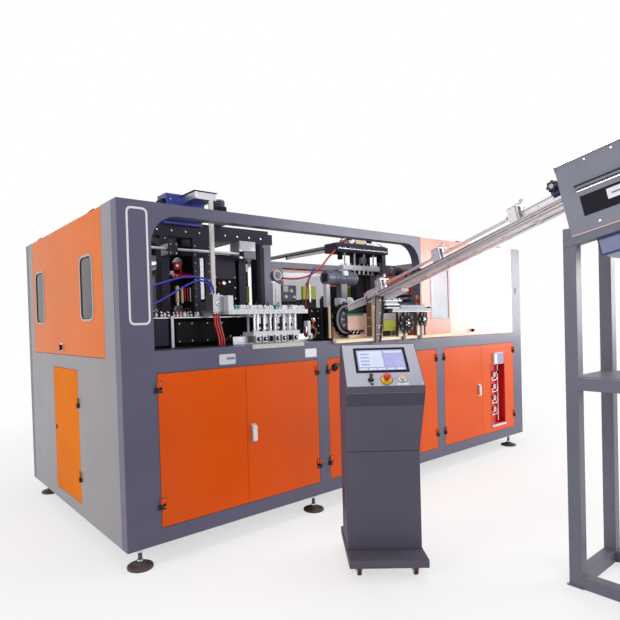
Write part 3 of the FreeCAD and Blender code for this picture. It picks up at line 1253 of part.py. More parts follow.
def chute_brackets():
    """Open C brackets over the rails, each with a clamping lever."""
    solids = []
    top = "chute_height / 2"
    for index in range(int(SIZES["bracket_count"])):
        start = "bracket_first + %d * bracket_pitch" % index
        name = "bracket_%d" % index
        outer = block(name + "_outer", ("-chute_width / 2", start, top),
                      ("chute_width", "bracket_length", "bracket_height"), LOCAL)
        inner = block(name + "_inner", ("-chute_width / 2 + bracket_wall", start, top),
                      ("chute_width - bracket_wall", "bracket_length",
                       "bracket_height - bracket_wall"), LOCAL)
        hanger = block(name + "_hanger",
                       ("-hold_bar_width / 2", start, top + " + hold_rise"),
                       ("hold_bar_width", "bracket_length",
                        "bracket_height - bracket_wall - hold_rise"), LOCAL)
        post = rod(name + "_post", ("0", start + " + bracket_length / 2",
                                    top + " + bracket_height"), "lever_post", "lever_rise",
                   "Z", LOCAL)
        arm = block(name + "_arm", ("-lever_post", start + " + bracket_length / 2 - lever_arm",
                                    top + " + bracket_height + lever_rise"),
                    ("2 * lever_post", "lever_arm + lever_post", "lever_post"), LOCAL)
        solids.append(fuse(name, cut(name + "_frame", outer, inner), hanger, post, arm))
    return solids


def hold_down():
    """The bar and the pair of rods that keep the preforms in the rails, on their brackets."""
    level = "chute_height / 2 + hold_rise"
    bar = block("hold_bar", ("-hold_bar_width / 2", "hold_bar_start", level),
                ("hold_bar_width", "hold_bar_end - hold_bar_start", "hold_bar_height"), LOCAL)
    rods = [rod("hold_rod_" + word, ("0", "hold_bar_end", height), "hold_rod",
                "hold_rod_end - hold_bar_end", "Y", LOCAL)
            for word, height in (("low", "chute_height / 2 + hold_rod_rise + hold_rod"),
                                 ("high", "chute_height / 2 + hold_rod_rise + hold_rod "
                                          "+ hold_rod_gap"))]
    plate = block("knob_bracket", ("-chute_width / 2", "knob_bracket_start",
                                   "chute_height / 2"),
                  ("bracket_wall", "knob_bracket_width", "knob_bracket_height"), LOCAL)
    shelf = block("knob_shelf", ("-chute_width / 2", "knob_bracket_start", level),
                  ("chute_width / 2 + hold_bar_width / 2", "knob_bracket_width",
                   "hold_bar_height"), LOCAL)
    bore = rod("knob_bore", ("-chute_width / 2", "knob_bracket_start + knob_bracket_width / 2",
                             "chute_height / 2 + knob_bracket_height - star_radius / 2"),
               "star_shaft + running_fit", "bracket_wall", "X", LOCAL)
    solid = fuse("hold_solid", bar, plate, shelf, *(rods + chute_brackets()))
    sub_part("hold_down", cut("hold_down", solid, bore), **CHUTE)


def star_knob():
    at = ("-chute_width / 2 - star_stand_off - star_depth / 2",
          "knob_bracket_start + knob_bracket_width / 2",
          "chute_height / 2 + knob_bracket_height - star_radius / 2")
    solids = [rod("star_hub", at, "star_radius - star_lobe / 2", "star_depth", "X", LOCAL),
              rod("star_shaft", at, "star_shaft",
                  "star_stand_off + star_depth / 2 + bracket_wall + star_shaft", "X", LOCAL)]
    for index in range(int(SIZES["star_lobes"])):
        turn = "(%d * 360 / star_lobes)" % index
        solids.append(rod("star_lobe_%d" % index,
                          (at[0], "%s + (star_radius - star_lobe) * cos%s" % (at[1], turn),
                           "%s + (star_radius - star_lobe) * sin%s" % (at[2], turn)),
                          "star_lobe", "star_depth", "X", LOCAL))
    sub_part("star_knob", fuse("star_knob", *solids), **CHUTE)


def loading_stand():
    """What stands on the ledge: the chute's post and leg, the star wheels' posts and a rail."""
    above = block("above_chute", ("-1.5 * chute_width", "0", "-chute_height / 2 - chute_floor"),
                  ("3 * chute_width", "chute_length * 1.1", "chute_width * 3"), LOCAL)
    above_chute = place(group("above_chute_turned", above), **CHUTE)
    post = block("chute_post", ("post_x", "post_y", "ledge_top"),
                 ("post_size", "post_size", "post_top - ledge_top"))
    leg = padded_outline("chute_leg", "XZ_Plane",
                         (("leg_foot_left", "leg_foot"), ("leg_foot_right", "leg_foot"),
                          ("leg_head_right", "leg_head"), ("leg_head_left", "leg_head")),
                         "leg_gauge", ("0", "ledge_front", "0"))
    solids = [cut("post_cut", post, above_chute), cut("leg_cut", leg, above_chute)]
    posts = []
    bores = []
    for word, x, z in (("one", "star_one_x", "star_one_z"), ("two", "star_two_x", "star_two_z")):
        posts.append(block("star_post_" + word,
                           ("%s - star_post / 2" % x, "ledge_front - star_post_depth",
                            "leg_foot"),
                           ("star_post", "star_post_depth",
                            "conveyor_bottom - leg_foot")))
        bores.append(rod("star_bore_" + word, (x, "ledge_front - star_post_depth", z),
                         "star_wheel_shaft + running_fit", "star_post_depth", "Y"))
    rail = block("conveyor_rail", ("conveyor_left", "ledge_front - conveyor_depth",
                                   "conveyor_bottom"),
                 ("conveyor_right - conveyor_left", "conveyor_depth", "conveyor_height"))
    solids.append(cut("star_posts", fuse("star_stand", rail, *posts), *bores))
    sub_part("loading_stand", group("loading_stand", *solids))


def star_wheels():
    for word, x, z, radius, teeth in (
            ("one", "star_one_x", "star_one_z", "star_one_radius", "star_one_teeth"),
            ("two", "star_two_x", "star_two_z", "star_two_radius", "star_two_teeth")):
        front = "ledge_front - star_post_depth - star_wheel_gap - star_wheel_depth"
        name = "star_wheel_" + word
        shaft = rod(name + "_shaft", (x, front, z), "star_wheel_shaft",
                    "star_wheel_depth + star_wheel_gap + star_post_depth", "Y")
        hub = rod(name + "_hub", (x, front + " - star_wheel_shaft", z), "star_wheel_hub",
                  "star_wheel_shaft", "Y")
        sub_part(name, toothed_wheel(name, (x, front, z), radius,
                                     "star_wheel_depth", teeth, "tooth_radius",
                                     [shaft, hub]))


# ---- Feeder ----------------------------------------------------------------------------------

def feeder_frame():
    far = "stand_front - stand_depth + stand_tube"
    right = "stand_right - stand_tube"
    solids = []
    for word, x, y in (("near_left", "stand_left", "stand_front"), ("near_right", right,
                                                                   "stand_front"),
                       ("far_left", "stand_left", far), ("far_right", right, far)):
        top = "stand_top" if y == "stand_front" else \
            "stand_top + (stand_depth - stand_tube) * tan(hopper_tilt)"
        solids.append(block("stand_post_" + word, (x, y, "0"), ("stand_tube", "stand_tube", top)))
    for word, level in (("foot", "0"), ("shelf", "stand_shelf")):
        for side, x in (("left", "stand_left"), ("right", right)):
            solids.append(block("stand_side_%s_%s" % (word, side), (x, far, level),
                                ("stand_tube", "stand_depth", "stand_tube")))
        for side, y in (("near", "stand_front"), ("far", far)):
            solids.append(block("stand_cross_%s_%s" % (word, side), ("stand_left", y, level),
                                ("stand_width", "stand_tube", "stand_tube")))
    for side, x in (("left", "0"), ("right", "hopper_width - hopper_sheet - stand_tube")):
        rail = block("stand_rail_" + side, (x, "-hopper_length", "-stand_rail"),
                     ("stand_tube + hopper_sheet", "hopper_length + stand_rail_reach",
                      "stand_rail"), LOCAL)
        solids.append(place(group("stand_rail_turned_" + side, rail), **HOPPER))
    sub_part("feeder_frame", fuse("feeder_frame", *solids))


def roller_places():
    return (("one", "hopper_middle - roller_spacing / 2"),
            ("two", "hopper_middle + roller_spacing / 2"))


def hopper():
    """Two side sheets, end walls that hold the rollers, and a flared throat above the seam."""
    far = "-hopper_length"
    sides = []
    windows = []
    for word, left in (("near", "0"), ("far", "hopper_width - hopper_sheet")):
        sides.append(block("hopper_side_" + word, (left, far, "0"),
                           ("hopper_sheet", "hopper_length", "hopper_height"), LOCAL))
        windows.append(block("hopper_window_" + word,
                             (left, "-hopper_window_start - hopper_window_length",
                              "hopper_window_rise"),
                             ("hopper_sheet", "hopper_window_length", "hopper_window_height"),
                             LOCAL))
    lip = block("hopper_lip", ("-hopper_lip", far, "hopper_seam"),
                ("hopper_lip", "hopper_length - hopper_window_start", "hopper_lip / 2"), LOCAL)
    walls = []
    bores = []
    for word, back in (("near", "-roller_bearing"), ("far", far)):
        walls.append(block("hopper_wall_" + word, ("0", back, "roller_rise - roller_radius"),
                           ("hopper_width", "roller_bearing",
                            "hopper_height - roller_rise + roller_radius"), LOCAL))
        for number, x in roller_places():
            bores.append(rod("roller_bore_%s_%s" % (word, number), (x, back, "roller_rise"),
                             "roller_shaft + running_fit", "roller_bearing", "Y", LOCAL))
    gate = block("hopper_gate", ("hopper_middle - roller_gap / 2", "-roller_bearing",
                                 "roller_rise - roller_radius"),
                 ("roller_gap", "roller_bearing", "3 * roller_radius"), LOCAL)
    sub_part("hopper", cut("hopper", fuse("hopper_solid", lip, *(sides + walls)), gate,
                           *(windows + bores)), **HOPPER)


def feed_rollers():
    for word, x in roller_places():
        name = "feed_roller_" + word
        drum = rod(name + "_drum", (x, "-hopper_length + roller_bearing + hinge_play",
                                    "roller_rise"), "roller_radius",
                   "hopper_length - 2 * roller_bearing - 2 * hinge_play", "Y", LOCAL)
        shaft = rod(name + "_shaft", (x, "-hopper_length", "roller_rise"), "roller_shaft",
                    "hopper_length", "Y", LOCAL)
        sub_part(name, fuse(name, drum, shaft), **HOPPER)


# ---- Console ---------------------------------------------------------------------------------

def face_rod(name, across, up, start, radius, length):
    """A cylinder that stands square on the console's sloping face."""
    part = doc.addObject("Part::Cylinder", name)
    bind(part, Radius=radius, Height=length)
    y = "-lip_out + %s * cos(face_tilt) - (%s) * sin(face_tilt)" % (up, start)
    z = "lip_top + %s * sin(face_tilt) + (%s) * cos(face_tilt)" % (up, start)
    return place(part, (across, y, z), LOCAL, roll="face_tilt")


def face_block(name, across, up, start, size):
    part = doc.addObject("Part::Box", name)
    bind(part, Length=size[0], Width=size[1], Height=size[2])
    y = "-lip_out + (%s) * cos(face_tilt) - (%s) * sin(face_tilt)" % (up, start)
    z = "lip_top + (%s) * sin(face_tilt) + (%s) * cos(face_tilt)" % (up, start)
    return place(part, (across, y, z), LOCAL, roll="face_tilt")


def console_castor(name, x, y):
    plate = block(name + "_plate", (x + " - castor_width", y + " - castor_width",
                                    "plinth_bottom - castor_plate"),
                  ("2 * castor_width", "2 * castor_width", "castor_plate"), LOCAL)
    wheel = rod(name + "_wheel", (x + " - castor_width / 2", y, "castor_radius"),
                "castor_radius", "castor_width", "X", LOCAL)
    forks = [block(name + "_fork_" + side, (left, y + " - castor_axle", "castor_radius"),
                   ("castor_fork", "2 * castor_axle",
                    "plinth_bottom - castor_plate - castor_radius"), LOCAL)
             for side, left in (("left", x + " - castor_width / 2 - castor_fork"),
                                ("right", x + " + castor_width / 2"))]
    return fuse(name, plate, wheel, *forks)


def console_housing():
    outline = (("column_front", "plinth_bottom + plinth_height"),
               ("column_front", "crease_height"), ("-lip_out", "lip_bottom"),
               ("-lip_out", "lip_top"), ("face_back", "face_top"), ("head_back", "face_top"),
               ("column_back", "shoulder_height"),
               ("column_back", "plinth_bottom + plinth_height"))
    case = padded_outline("console_case", "YZ_Plane", outline, "console_width",
                          ("-console_width / 2", "0", "0"), LOCAL)
    plinth = block("console_plinth", ("-plinth_width / 2", "plinth_front", "plinth_bottom"),
                   ("plinth_width", "plinth_depth", "plinth_height"), LOCAL)
    castors = []
    for side, x in (("left", "-plinth_width / 2 + castor_inset"),
                    ("right", "plinth_width / 2 - castor_inset")):
        for row, y in (("front", "plinth_front + castor_set"),
                       ("back", "plinth_front + plinth_depth - castor_inset")):
            castors.append(console_castor("castor_%s_%s" % (row, side), x, y))
    collars = [face_rod(name + "_collar", across, "button_up", "0", radius, "collar_height")
               for name, across, radius in (("estop", "estop_across", "estop_base"),
                                            ("selector", "selector_across",
                                             "selector_radius + hinge_gauge"),
                                            ("push", "push_across",
                                             "push_radius + hinge_gauge"))]
    bores = [face_rod(name + "_bore", across, "button_up", "-button_stem_length",
                      "button_stem + running_fit", "button_stem_length + collar_height")
             for name, across in (("estop", "estop_across"), ("selector", "selector_across"),
                                  ("push", "push_across"))]
    sub_part("console_housing",
             cut("console_housing", fuse("console_solid", case, plinth, *(castors + collars)),
                 *bores), **CONSOLE)


def console_display():
    slab = face_block("display_slab", "display_across - display_width / 2", "display_up", "0",
                      ("display_width", "display_height", "display_proud"))
    sub_part("console_display", group("console_display", slab), **CONSOLE)


def console_buttons():
    """Stop button, selector and push button; each slides or turns in its bore."""
    stem_start = "estop_travel - button_stem_length"
    stop_gap = "collar_height + estop_travel + slide_gap"
    stop = fuse("emergency_stop",
                face_rod("stop_stem", "estop_across", "button_up", stem_start, "button_stem",
                         "%s - (%s)" % (stop_gap, stem_start)),
                face_rod("stop_cap", "estop_across", "button_up", stop_gap, "estop_cap",
                         "estop_height"))
    sub_part("emergency_stop", stop, **CONSOLE)
    turn_gap = "collar_height + slide_gap"
    selector = fuse("selector_switch",
                    face_rod("selector_stem", "selector_across", "button_up",
                             stem_start, "button_stem", "%s - (%s)" % (turn_gap, stem_start)),
                    face_rod("selector_cap", "selector_across", "button_up", turn_gap,
                             "selector_radius", "selector_height"))
    sub_part("selector_switch", selector, **CONSOLE)
    push_gap = "collar_height + estop_travel + slide_gap"
    push = fuse("push_button",
                face_rod("push_stem", "push_across", "button_up", stem_start, "button_stem",
                         "%s - (%s)" % (push_gap, stem_start)),
                face_rod("push_cap", "push_across", "button_up", push_gap, "push_radius",
                         "push_height"))
    sub_part("push_button", push, **CONSOLE)


# ---- Hoses -----------------------------------------------------------------------------------

def rounded_path(points):
    """Straight runs joined by tangent arcs, each as large as its two runs allow."""
    arcs = []
    for before, here, after in zip(points, points[1:], points[2:]):
        into = (here - before)
        out = (after - here)
        turn = into.getAngle(out)
        setback = 0.45 * min(into.Length, out.Length)
        radius = setback / math.tan(turn / 2)
        start = here - into.normalize() * setback
        end = here + out.normalize() * setback
        inward = (end - here).normalize() + (start - here).normalize()
        reach = radius / math.cos(turn / 2) - radius
        middle = here + inward.normalize() * reach
        arcs.append((Part.Arc(start, middle, end), start, end, radius))
    edges = []
    last = points[0]
    for arc, start, end, _ in arcs:
        edges.append(Part.LineSegment(last, start).toShape())
        edges.append(arc.toShape())
        last = end
    edges.append(Part.LineSegment(last, points[-1]).toShape())
    return Part.Wire(edges), [radius for _, _, _, radius in arcs]


def hose(label, routes, diameter):
    """Round hoses along hand-laid routes, given from the cabinet's front left corner."""
    shift = Vector(-value("foot_inset_x"), -value("foot_inset_y"), 0)
    tubes = []
    for route in routes:
        points = [Vector(*point) + shift for point in route]
        path, radii = rounded_path(points)
        start = points[1] - points[0]
        ring = Part.Wire(Part.makeCircle(value(diameter) / 2, points[0], start))
        tube = path.makePipeShell([ring], True, False)
        tubes.append(tube)
        expected = math.pi * (value(diameter) / 2) ** 2 * path.Length
        print(label, "length", round(path.Length), "radii", [round(r) for r in radii],
              "volume ratio", round(tube.Volume / expected, 4))
    part = doc.addObject("Part::Feature", label)
    part.Shape = tubes[0] if len(tubes) == 1 else Part.makeCompound(tubes)
    sub_part(label, part)


BLUE_UPPER = ((766, 252, 1585), (766, 252, 1640), (722, 251, 1688), (640, 250, 1706),
              (540, 248, 1700), (440, 246, 1676), (345, 243, 1645), (250, 239, 1616),
              (155, 236, 1603), (60, 236, 1603))
BLUE_LOWER = ((755, 276, 1585), (755, 276, 1636), (719, 275, 1678), (655, 272, 1684),
              (580, 268, 1656), (494, 263, 1610), (406, 257, 1562), (316, 250, 1519),
              (230, 242, 1492), (145, 236, 1481), (60, 236, 1481))
RED_BUNDLE = ((764, 254, 1469), (764, 254, 1428), (768, 253, 1386), (780, 252, 1342),
              (791, 251, 1300), (796, 250, 1268), (796, 250, 1238))


def hoses():
    hose("blue_hose_upper", [BLUE_UPPER], "blue_hose")
    hose("blue_hose_lower", [BLUE_LOWER], "blue_hose")
    pitch = value("red_hose_pitch")
    hose("red_hose_bundle", [[(x + step * pitch, y, z) for x, y, z in RED_BUNDLE]
                             for step in (0, 1, 2)], "red_hose")


# ---- Build -----------------------------------------------------------------------------------

top_hinges_made = top_hinges()
front_frame()
back_frame()
end_frames()
machine_bed()
levelling_feet()
door_hinges()
front_doors()
main_switch()
door_latches()
gauge_panel()
end_door()
guards()
fixed_covers()
loading_ledge()
clamp_base()
clamp_portal()
fixed_platens()
tie_bars()
mould_half("front")
mould_half("back")
stretch_bar()
stretch_drive()
rods_and_blocks()
lime_covers()
transfer_rail()
transfer_carriage()
gripper_bridge()
gripper_bar()
loading_wheel()
loader_housing()
drive_motors()
oven()
control_cabinet()
chute_rails()
hold_down()
star_knob()
loading_stand()
star_wheels()
feeder_frame()
hopper()
feed_rollers()
console_housing()
console_display()
console_buttons()
hoses()

doc.recompute()
for item in doc.Objects:
    if "Invalid" in item.State or "Error" in item.State:
        raise RuntimeError("%s is %s" % (item.Label, item.State))

os.makedirs("parts", exist_ok=True)
for part in sub_parts:
    shape = part.Shape
    if shape.isNull() or not shape.isValid():
        raise RuntimeError("%s has no valid shape" % part.Label)
    shape.exportStep("parts/%s.step" % part.Label)
print(len(sub_parts), "sub-parts")
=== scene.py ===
import itertools
import math

import bmesh
import bpy
from mathutils import Matrix, Vector


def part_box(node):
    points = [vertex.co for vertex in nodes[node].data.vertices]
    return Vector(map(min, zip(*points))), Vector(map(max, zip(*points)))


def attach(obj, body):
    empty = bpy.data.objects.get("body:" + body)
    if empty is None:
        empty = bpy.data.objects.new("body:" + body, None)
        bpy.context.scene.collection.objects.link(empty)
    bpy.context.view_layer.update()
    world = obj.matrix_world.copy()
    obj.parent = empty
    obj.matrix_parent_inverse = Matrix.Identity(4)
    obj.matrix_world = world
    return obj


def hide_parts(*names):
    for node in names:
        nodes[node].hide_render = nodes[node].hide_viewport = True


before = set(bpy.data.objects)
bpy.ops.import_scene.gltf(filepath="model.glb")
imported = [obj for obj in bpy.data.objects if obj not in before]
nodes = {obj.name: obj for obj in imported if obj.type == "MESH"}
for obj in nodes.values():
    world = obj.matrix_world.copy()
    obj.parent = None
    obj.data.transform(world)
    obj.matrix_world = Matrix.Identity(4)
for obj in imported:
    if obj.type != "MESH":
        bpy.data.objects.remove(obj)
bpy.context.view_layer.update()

# ---- Frames: millimetres in, row frame metres out ---------------------------------------------

ORIGIN = (93, 52, 0)
MACHINE = Matrix.Translation([-value / 1000 for value in ORIGIN]) @ Matrix.Scale(0.001, 4)


def turned(at, yaw=0.0, roll=0.0, space=MACHINE):
    return (space @ Matrix.Translation(at) @ Matrix.Rotation(math.radians(yaw), 4, "Z")
            @ Matrix.Rotation(math.radians(roll), 4, "X"))


CHUTE = turned((1972, -1560, 2011), -9, -14.9)
HOPPER = turned((1676, -1664, 1764), 0, -12)
CONSOLE = turned((1017, -1008, 0), -40)
INFEED = turned((2245.7, 167.6, 1545.6), 81, -16.8)

# The console's side outline as (depth, height); its face lies between the fourth and fifth
CASE = ((150, 110), (150, 657), (-11, 1002), (-11, 1035), (222, 1244), (300, 1244),
        (400, 1000), (400, 110))
FACE_LOW, FACE_HIGH = CASE[3:5]
FACE_TILT = math.degrees(math.atan((FACE_HIGH[1] - FACE_LOW[1]) / (FACE_HIGH[0] - FACE_LOW[0])))
FACE = turned((0, *FACE_LOW), 0, FACE_TILT, CONSOLE)


# ---- Camera -----------------------------------------------------------------------------------

def add_camera():
    data = bpy.data.cameras.new("camera")
    camera = bpy.data.objects.new("camera", data)
    bpy.context.scene.collection.objects.link(camera)
    # The photo's size, focal length and optical centre, in pixels
    size, focal, centre_x, centre_y = 620, 518.19, 275.63, 332.47
    data.sensor_width = 36
    data.sensor_fit = "HORIZONTAL"
    data.lens = focal / size * data.sensor_width
    data.shift_x = (size / 2 - centre_x) / size
    data.shift_y = (centre_y - size / 2) / size
    right = Vector((0.7844891, -0.61944695, -0.02936556))
    up = Vector((0.03357906, -0.00485311, 0.99942428))
    back = -Vector((0.61923283, 0.78502352, -0.01699324))
    turn = Matrix((right, up, back)).transposed().to_4x4()
    camera.matrix_world = Matrix.Translation((-1.19021, -2.82812, 1.37780)) @ turn
    bpy.context.scene.camera = camera


# ---- Materials --------------------------------------------------------------------------------

def linear(value):
    value /= 255
    return value / 12.92 if value <= 0.04045 else ((value + 0.055) / 1.055) ** 2.4


def colour(r, g, b, alpha=1.0):
    return (linear(r), linear(g), linear(b), alpha)


class Shader:
    """A node tree with short calls for what the finishes share."""

    def __init__(self, name):
        self.material = bpy.data.materials.new(name)
        self.material.use_nodes = True
        self.tree = self.material.node_tree
        self.bsdf = self.tree.nodes["Principled BSDF"]
        self.place = self.node("ShaderNodeTexCoord").outputs["Object"]

    def node(self, kind, **values):
        node = self.tree.nodes.new(kind)
        for key, value in values.items():
            if key in node.inputs:
                node.inputs[key].default_value = value
            else:
                setattr(node, key, value)
        return node

    def link(self, source, target):
        self.tree.links.new(source, target)

    def feed(self, name, source):
        self.link(source, self.bsdf.inputs[name])

    def set(self, **values):
        for key, value in values.items():
            self.bsdf.inputs[key.replace("_", " ")].default_value = value

    def stretched(self, scale):
        node = self.node("ShaderNodeMapping")
        node.inputs["Scale"].default_value = scale
        self.link(self.place, node.inputs["Vector"])
        return node.outputs["Vector"]

    def noise(self, scale, detail=3.0, rough=0.5, stretch=None):
        node = self.node("ShaderNodeTexNoise", Scale=scale, Detail=detail, Roughness=rough)
        self.link(self.stretched(stretch) if stretch else self.place, node.inputs["Vector"])
        return node.outputs["Fac"]

    def ramp(self, source, low, high, at=(0.3, 0.7)):
        node = self.node("ShaderNodeValToRGB")
        node.color_ramp.elements[0].position = at[0]
        node.color_ramp.elements[0].color = low
        node.color_ramp.elements[1].position = at[1]
        node.color_ramp.elements[1].color = high
        self.link(source, node.inputs["Fac"])
        return node.outputs["Color"]

    def spread(self, source, low, high):
        node = self.node("ShaderNodeMapRange")
        node.inputs["To Min"].default_value = low
        node.inputs["To Max"].default_value = high
        self.link(source, node.inputs["Value"])
        return node.outputs["Result"]

    def bump(self, source, strength, distance, edge=0.0):
        node = self.node("ShaderNodeBump", Strength=strength, Distance=distance)
        self.link(source, node.inputs["Height"])
        if edge:
            bevel = self.node("ShaderNodeBevel", samples=4)
            bevel.inputs["Radius"].default_value = edge
            self.link(bevel.outputs["Normal"], node.inputs["Normal"])
        self.link(node.outputs["Normal"], self.bsdf.inputs["Normal"])


def mixed(base, amount):
    """Two tones a little under and over a colour."""
    low = tuple(max(0.0, channel * (1 - amount)) for channel in base[:3]) + (1,)
    high = tuple(min(1.0, channel * (1 + amount)) for channel in base[:3]) + (1,)
    return low, high


def paint(name, base, rough=0.35, peel=0.25, vary=0.06, coat=0.0, edge=0.0015, gloss=0.5):
    """Powder coat: a fine peel, slow tone changes, and slightly uneven gloss."""
    shader = Shader(name)
    slow = shader.noise(2.2, 2.0)
    shader.feed("Base Color", shader.ramp(slow, *mixed(colour(*base), vary)))
    fine = shader.noise(900, 2.0)
    shader.feed("Roughness", shader.spread(shader.noise(9, 4.0), rough - 0.05, rough + 0.07))
    shader.bump(fine, peel, 0.0002, edge)
    shader.set(Coat_Weight=coat, Coat_Roughness=0.12, Specular_IOR_Level=gloss)
    return shader.material


def metal(name, base, rough=0.3, grain=(1, 1, 40), strength=0.12, edge=0.001, vary=0.12):
    """Machined or brushed metal: grain stretched along one way, with soft stains."""
    shader = Shader(name)
    shader.set(Metallic=1.0)
    shader.feed("Base Color", shader.ramp(shader.noise(7, 4.0), *mixed(base, vary)))
    lines = shader.noise(60, 4.0, 0.6, grain)
    shader.feed("Roughness", shader.spread(lines, rough - 0.08, rough + 0.14))
    shader.bump(lines, strength, 0.0004, edge)
    return shader.material


def plastic(name, base, rough=0.45, grain=0.15, vary=0.04, scale=1400):
    shader = Shader(name)
    shader.feed("Base Color", shader.ramp(shader.noise(11, 2.0), *mixed(colour(*base), vary)))
    shader.feed("Roughness", shader.spread(shader.noise(30, 3.0), rough - 0.05, rough + 0.06))
    shader.bump(shader.noise(scale, 2.0), grain, 0.00015, 0.0008)
    return shader.material


def glass(name, tint, alpha):
    """A dark pane: see-through, with a clear gloss and a faint smear."""
    shader = Shader(name)
    shader.feed("Base Color", shader.ramp(shader.noise(4, 3.0), *mixed(colour(*tint), 0.1)))
    shader.feed("Roughness", shader.spread(shader.noise(6, 3.0), 0.04, 0.12))
    shader.set(Alpha=alpha)
    return shader.material


MAT = {
    "grey": paint("frame_grey", (84, 82, 105), 0.36, 0.3, 0.05, 0.1, gloss=0.4),
    "end": paint("end_grey", (134, 129, 134), 0.34, 0.3),
    "orange": paint("orange_coat", (216, 80, 0), 0.3, 0.22, 0.05, 0.02, gloss=0.18),
    # The next two coats are lighter, yellower copies of the orange paint, painted as the light on
    # the left end
    "orange_end": paint("orange_end_painted_light", (214, 104, 2), 0.3, 0.22, 0.05, gloss=0.14),
    "orange_door": paint("orange_end_door_painted_light", (222, 116, 4), 0.34, 0.22, 0.05, gloss=0.01),
    "guard_near": paint("guard_near_coat", (226, 88, 30), 0.3, 0.22, 0.05, 0.25),
    "guard": paint("guard_coat", (228, 88, 12), 0.3, 0.22, 0.05, 0.8),
    "red": paint("red_coat", (196, 10, 20), 0.3, 0.2, 0.05, 0.2),
    "cream": paint("cream_coat", (232, 214, 178), 0.4, 0.2, 0.07),
    "salmon": paint("salmon_coat", (250, 204, 190), 0.4, 0.2, 0.08),
    "lime": paint("lime_coat", (196, 206, 20), 0.38, 0.2, 0.06),
    # The next coat is a paler copy of the lime paint, painted as light on the lime panel
    "yellow_green": paint("yellow_green_coat", (240, 250, 110), 0.38, 0.2, 0.06),
    "green": paint("green_coat", (6, 62, 52), 0.38, 0.2, 0.06),
    "greenish": paint("pale_green_coat", (96, 150, 138), 0.4, 0.2, 0.08),
    "blue": paint("blue_coat", (28, 44, 140), 0.32, 0.2, 0.06, 0.2),
    "navy": paint("navy_coat", (58, 66, 122), 0.34, 0.2, 0.06, 0.2),
    "white": paint("white_coat", (222, 223, 228), 0.36, 0.15, 0.03),
    "plate": paint("plate_coat", (196, 199, 208), 0.3, 0.1, 0.03),
    "strip": paint("strip_coat", (188, 182, 172), 0.4, 0.2, 0.05),
    "gasket": paint("gasket_coat", (170, 170, 176), 0.5, 0.2, 0.05),
    "tall": paint("rod_coat", (214, 208, 200), 0.34, 0.1, 0.05),
    # The next coat is painted shade: the shaded side face of the cream post
    "brownish": paint("post_side_painted_shade_coat", (104, 78, 68), 0.45, 0.3, 0.12),
    "leg": paint("leg_coat", (84, 60, 62), 0.5, 0.3, 0.12),
    "black": paint("black_coat", (6, 5, 8), 0.55, 0.3, 0.1, gloss=0.12),
    # The dark coat is partly the machine's dark paint and partly painted shade for the inside of
    # the machine
    "dark": paint("dark_paint_and_painted_shade", (38, 36, 52), 0.5, 0.3, 0.1, gloss=0.2),
    "slate": paint("slate_coat", (104, 104, 120), 0.4, 0.3, 0.07),
    "console": paint("console_coat", (88, 84, 98), 0.6, 0.3, 0.05, gloss=0.15),
    # The next coat is a darker copy of the console paint, painted as shade on the front of the
    # head
    "console_dark": paint("console_shade", (72, 70, 84), 0.6, 0.3, 0.05, gloss=0.15),
    "hopper": paint("hopper_coat", (108, 110, 125), 0.4, 0.3, 0.06),
    "stand": paint("stand_coat", (104, 105, 118), 0.42, 0.3, 0.06, gloss=0.3),
    "steel": metal("brushed_steel", (0.44, 0.44, 0.47, 1), 0.34, (1, 1, 30)),
    "bright": metal("bright_steel", (0.64, 0.65, 0.68, 1), 0.22, (30, 30, 1), 0.05),
    "alu": metal("machined_aluminium", (0.50, 0.51, 0.55, 1), 0.38, (1, 30, 30), 0.1),
    "rail": metal("rail_aluminium", (0.74, 0.70, 0.72, 1), 0.5, (30, 1, 30), 0.12),
    "pale_rail": paint("pale_aluminium", (204, 195, 198), 0.34, 0.2, 0.06),
    "disc": paint("disc_coat", (96, 98, 118), 0.4, 0.3, 0.12),
    "salmon_grey": paint("rim_coat", (150, 138, 150), 0.4, 0.3, 0.12),
    "band": paint("band_coat", (150, 158, 164), 0.4, 0.3, 0.14),
    "rust": paint("rust_coat", (158, 74, 40), 0.5, 0.3, 0.2),
    "gold": paint("straw_coat", (190, 164, 96), 0.45, 0.2, 0.1),
    "rail_dark": paint("rail_shadow", (74, 66, 72), 0.5, 0.2, 0.1),
    "cast": paint("cast_iron", (74, 62, 60), 0.6, 0.6, 0.2),
    "brass": metal("brass", (0.62, 0.44, 0.18, 1), 0.3, (1, 1, 1), 0.05),
    # The face plate coat is a lighter copy of the console paint, painted as glare on the tilted
    # face
    "face": paint("face_plate", (150, 150, 166), 0.2, 0.1, 0.04, 0.5),
    "rubber": plastic("black_rubber", (24, 23, 26), 0.6, 0.4, 0.1, 500),
    "plastic": plastic("black_plastic", (16, 16, 20), 0.5),
    "wheel_black": paint("wheel_black", (7, 6, 14), 0.6, 0.3, 0.1, gloss=0.1),
    "window": paint("window_sheet", (22, 21, 32), 0.5, 0.1, 0.1, gloss=0.12),
    "white_plastic": plastic("white_plastic", (226, 224, 222), 0.35),
    "red_plastic": plastic("red_plastic", (196, 12, 16), 0.28),
    "yellow": plastic("yellow_plastic", (228, 176, 16), 0.35),
    "amber": plastic("amber_plastic", (214, 176, 140), 0.35),
    "blue_tube": plastic("blue_tube", (24, 40, 176), 0.3),
    "red_tube": plastic("red_tube", (190, 18, 26), 0.32),
    "teal": plastic("teal_plastic", (20, 118, 132), 0.35),
    "beige": plastic("beige_plastic", (216, 192, 156), 0.4),
    "display": plastic("display_glass", (150, 156, 206), 0.12, 0.02, 0.08),
    "pale": plastic("display_pale", (206, 214, 238), 0.12, 0.02, 0.05),
    "lilac": plastic("display_lilac", (160, 162, 218), 0.12, 0.02, 0.05),
    "keys": plastic("key_plastic", (34, 32, 40), 0.4),
    "dial": plastic("dial_white", (232, 232, 230), 0.3),
    "pane": glass("guard_pane", (52, 44, 50), 0.86),
    "clear_pane": glass("clear_pane", (196, 202, 214), 0.5),
}

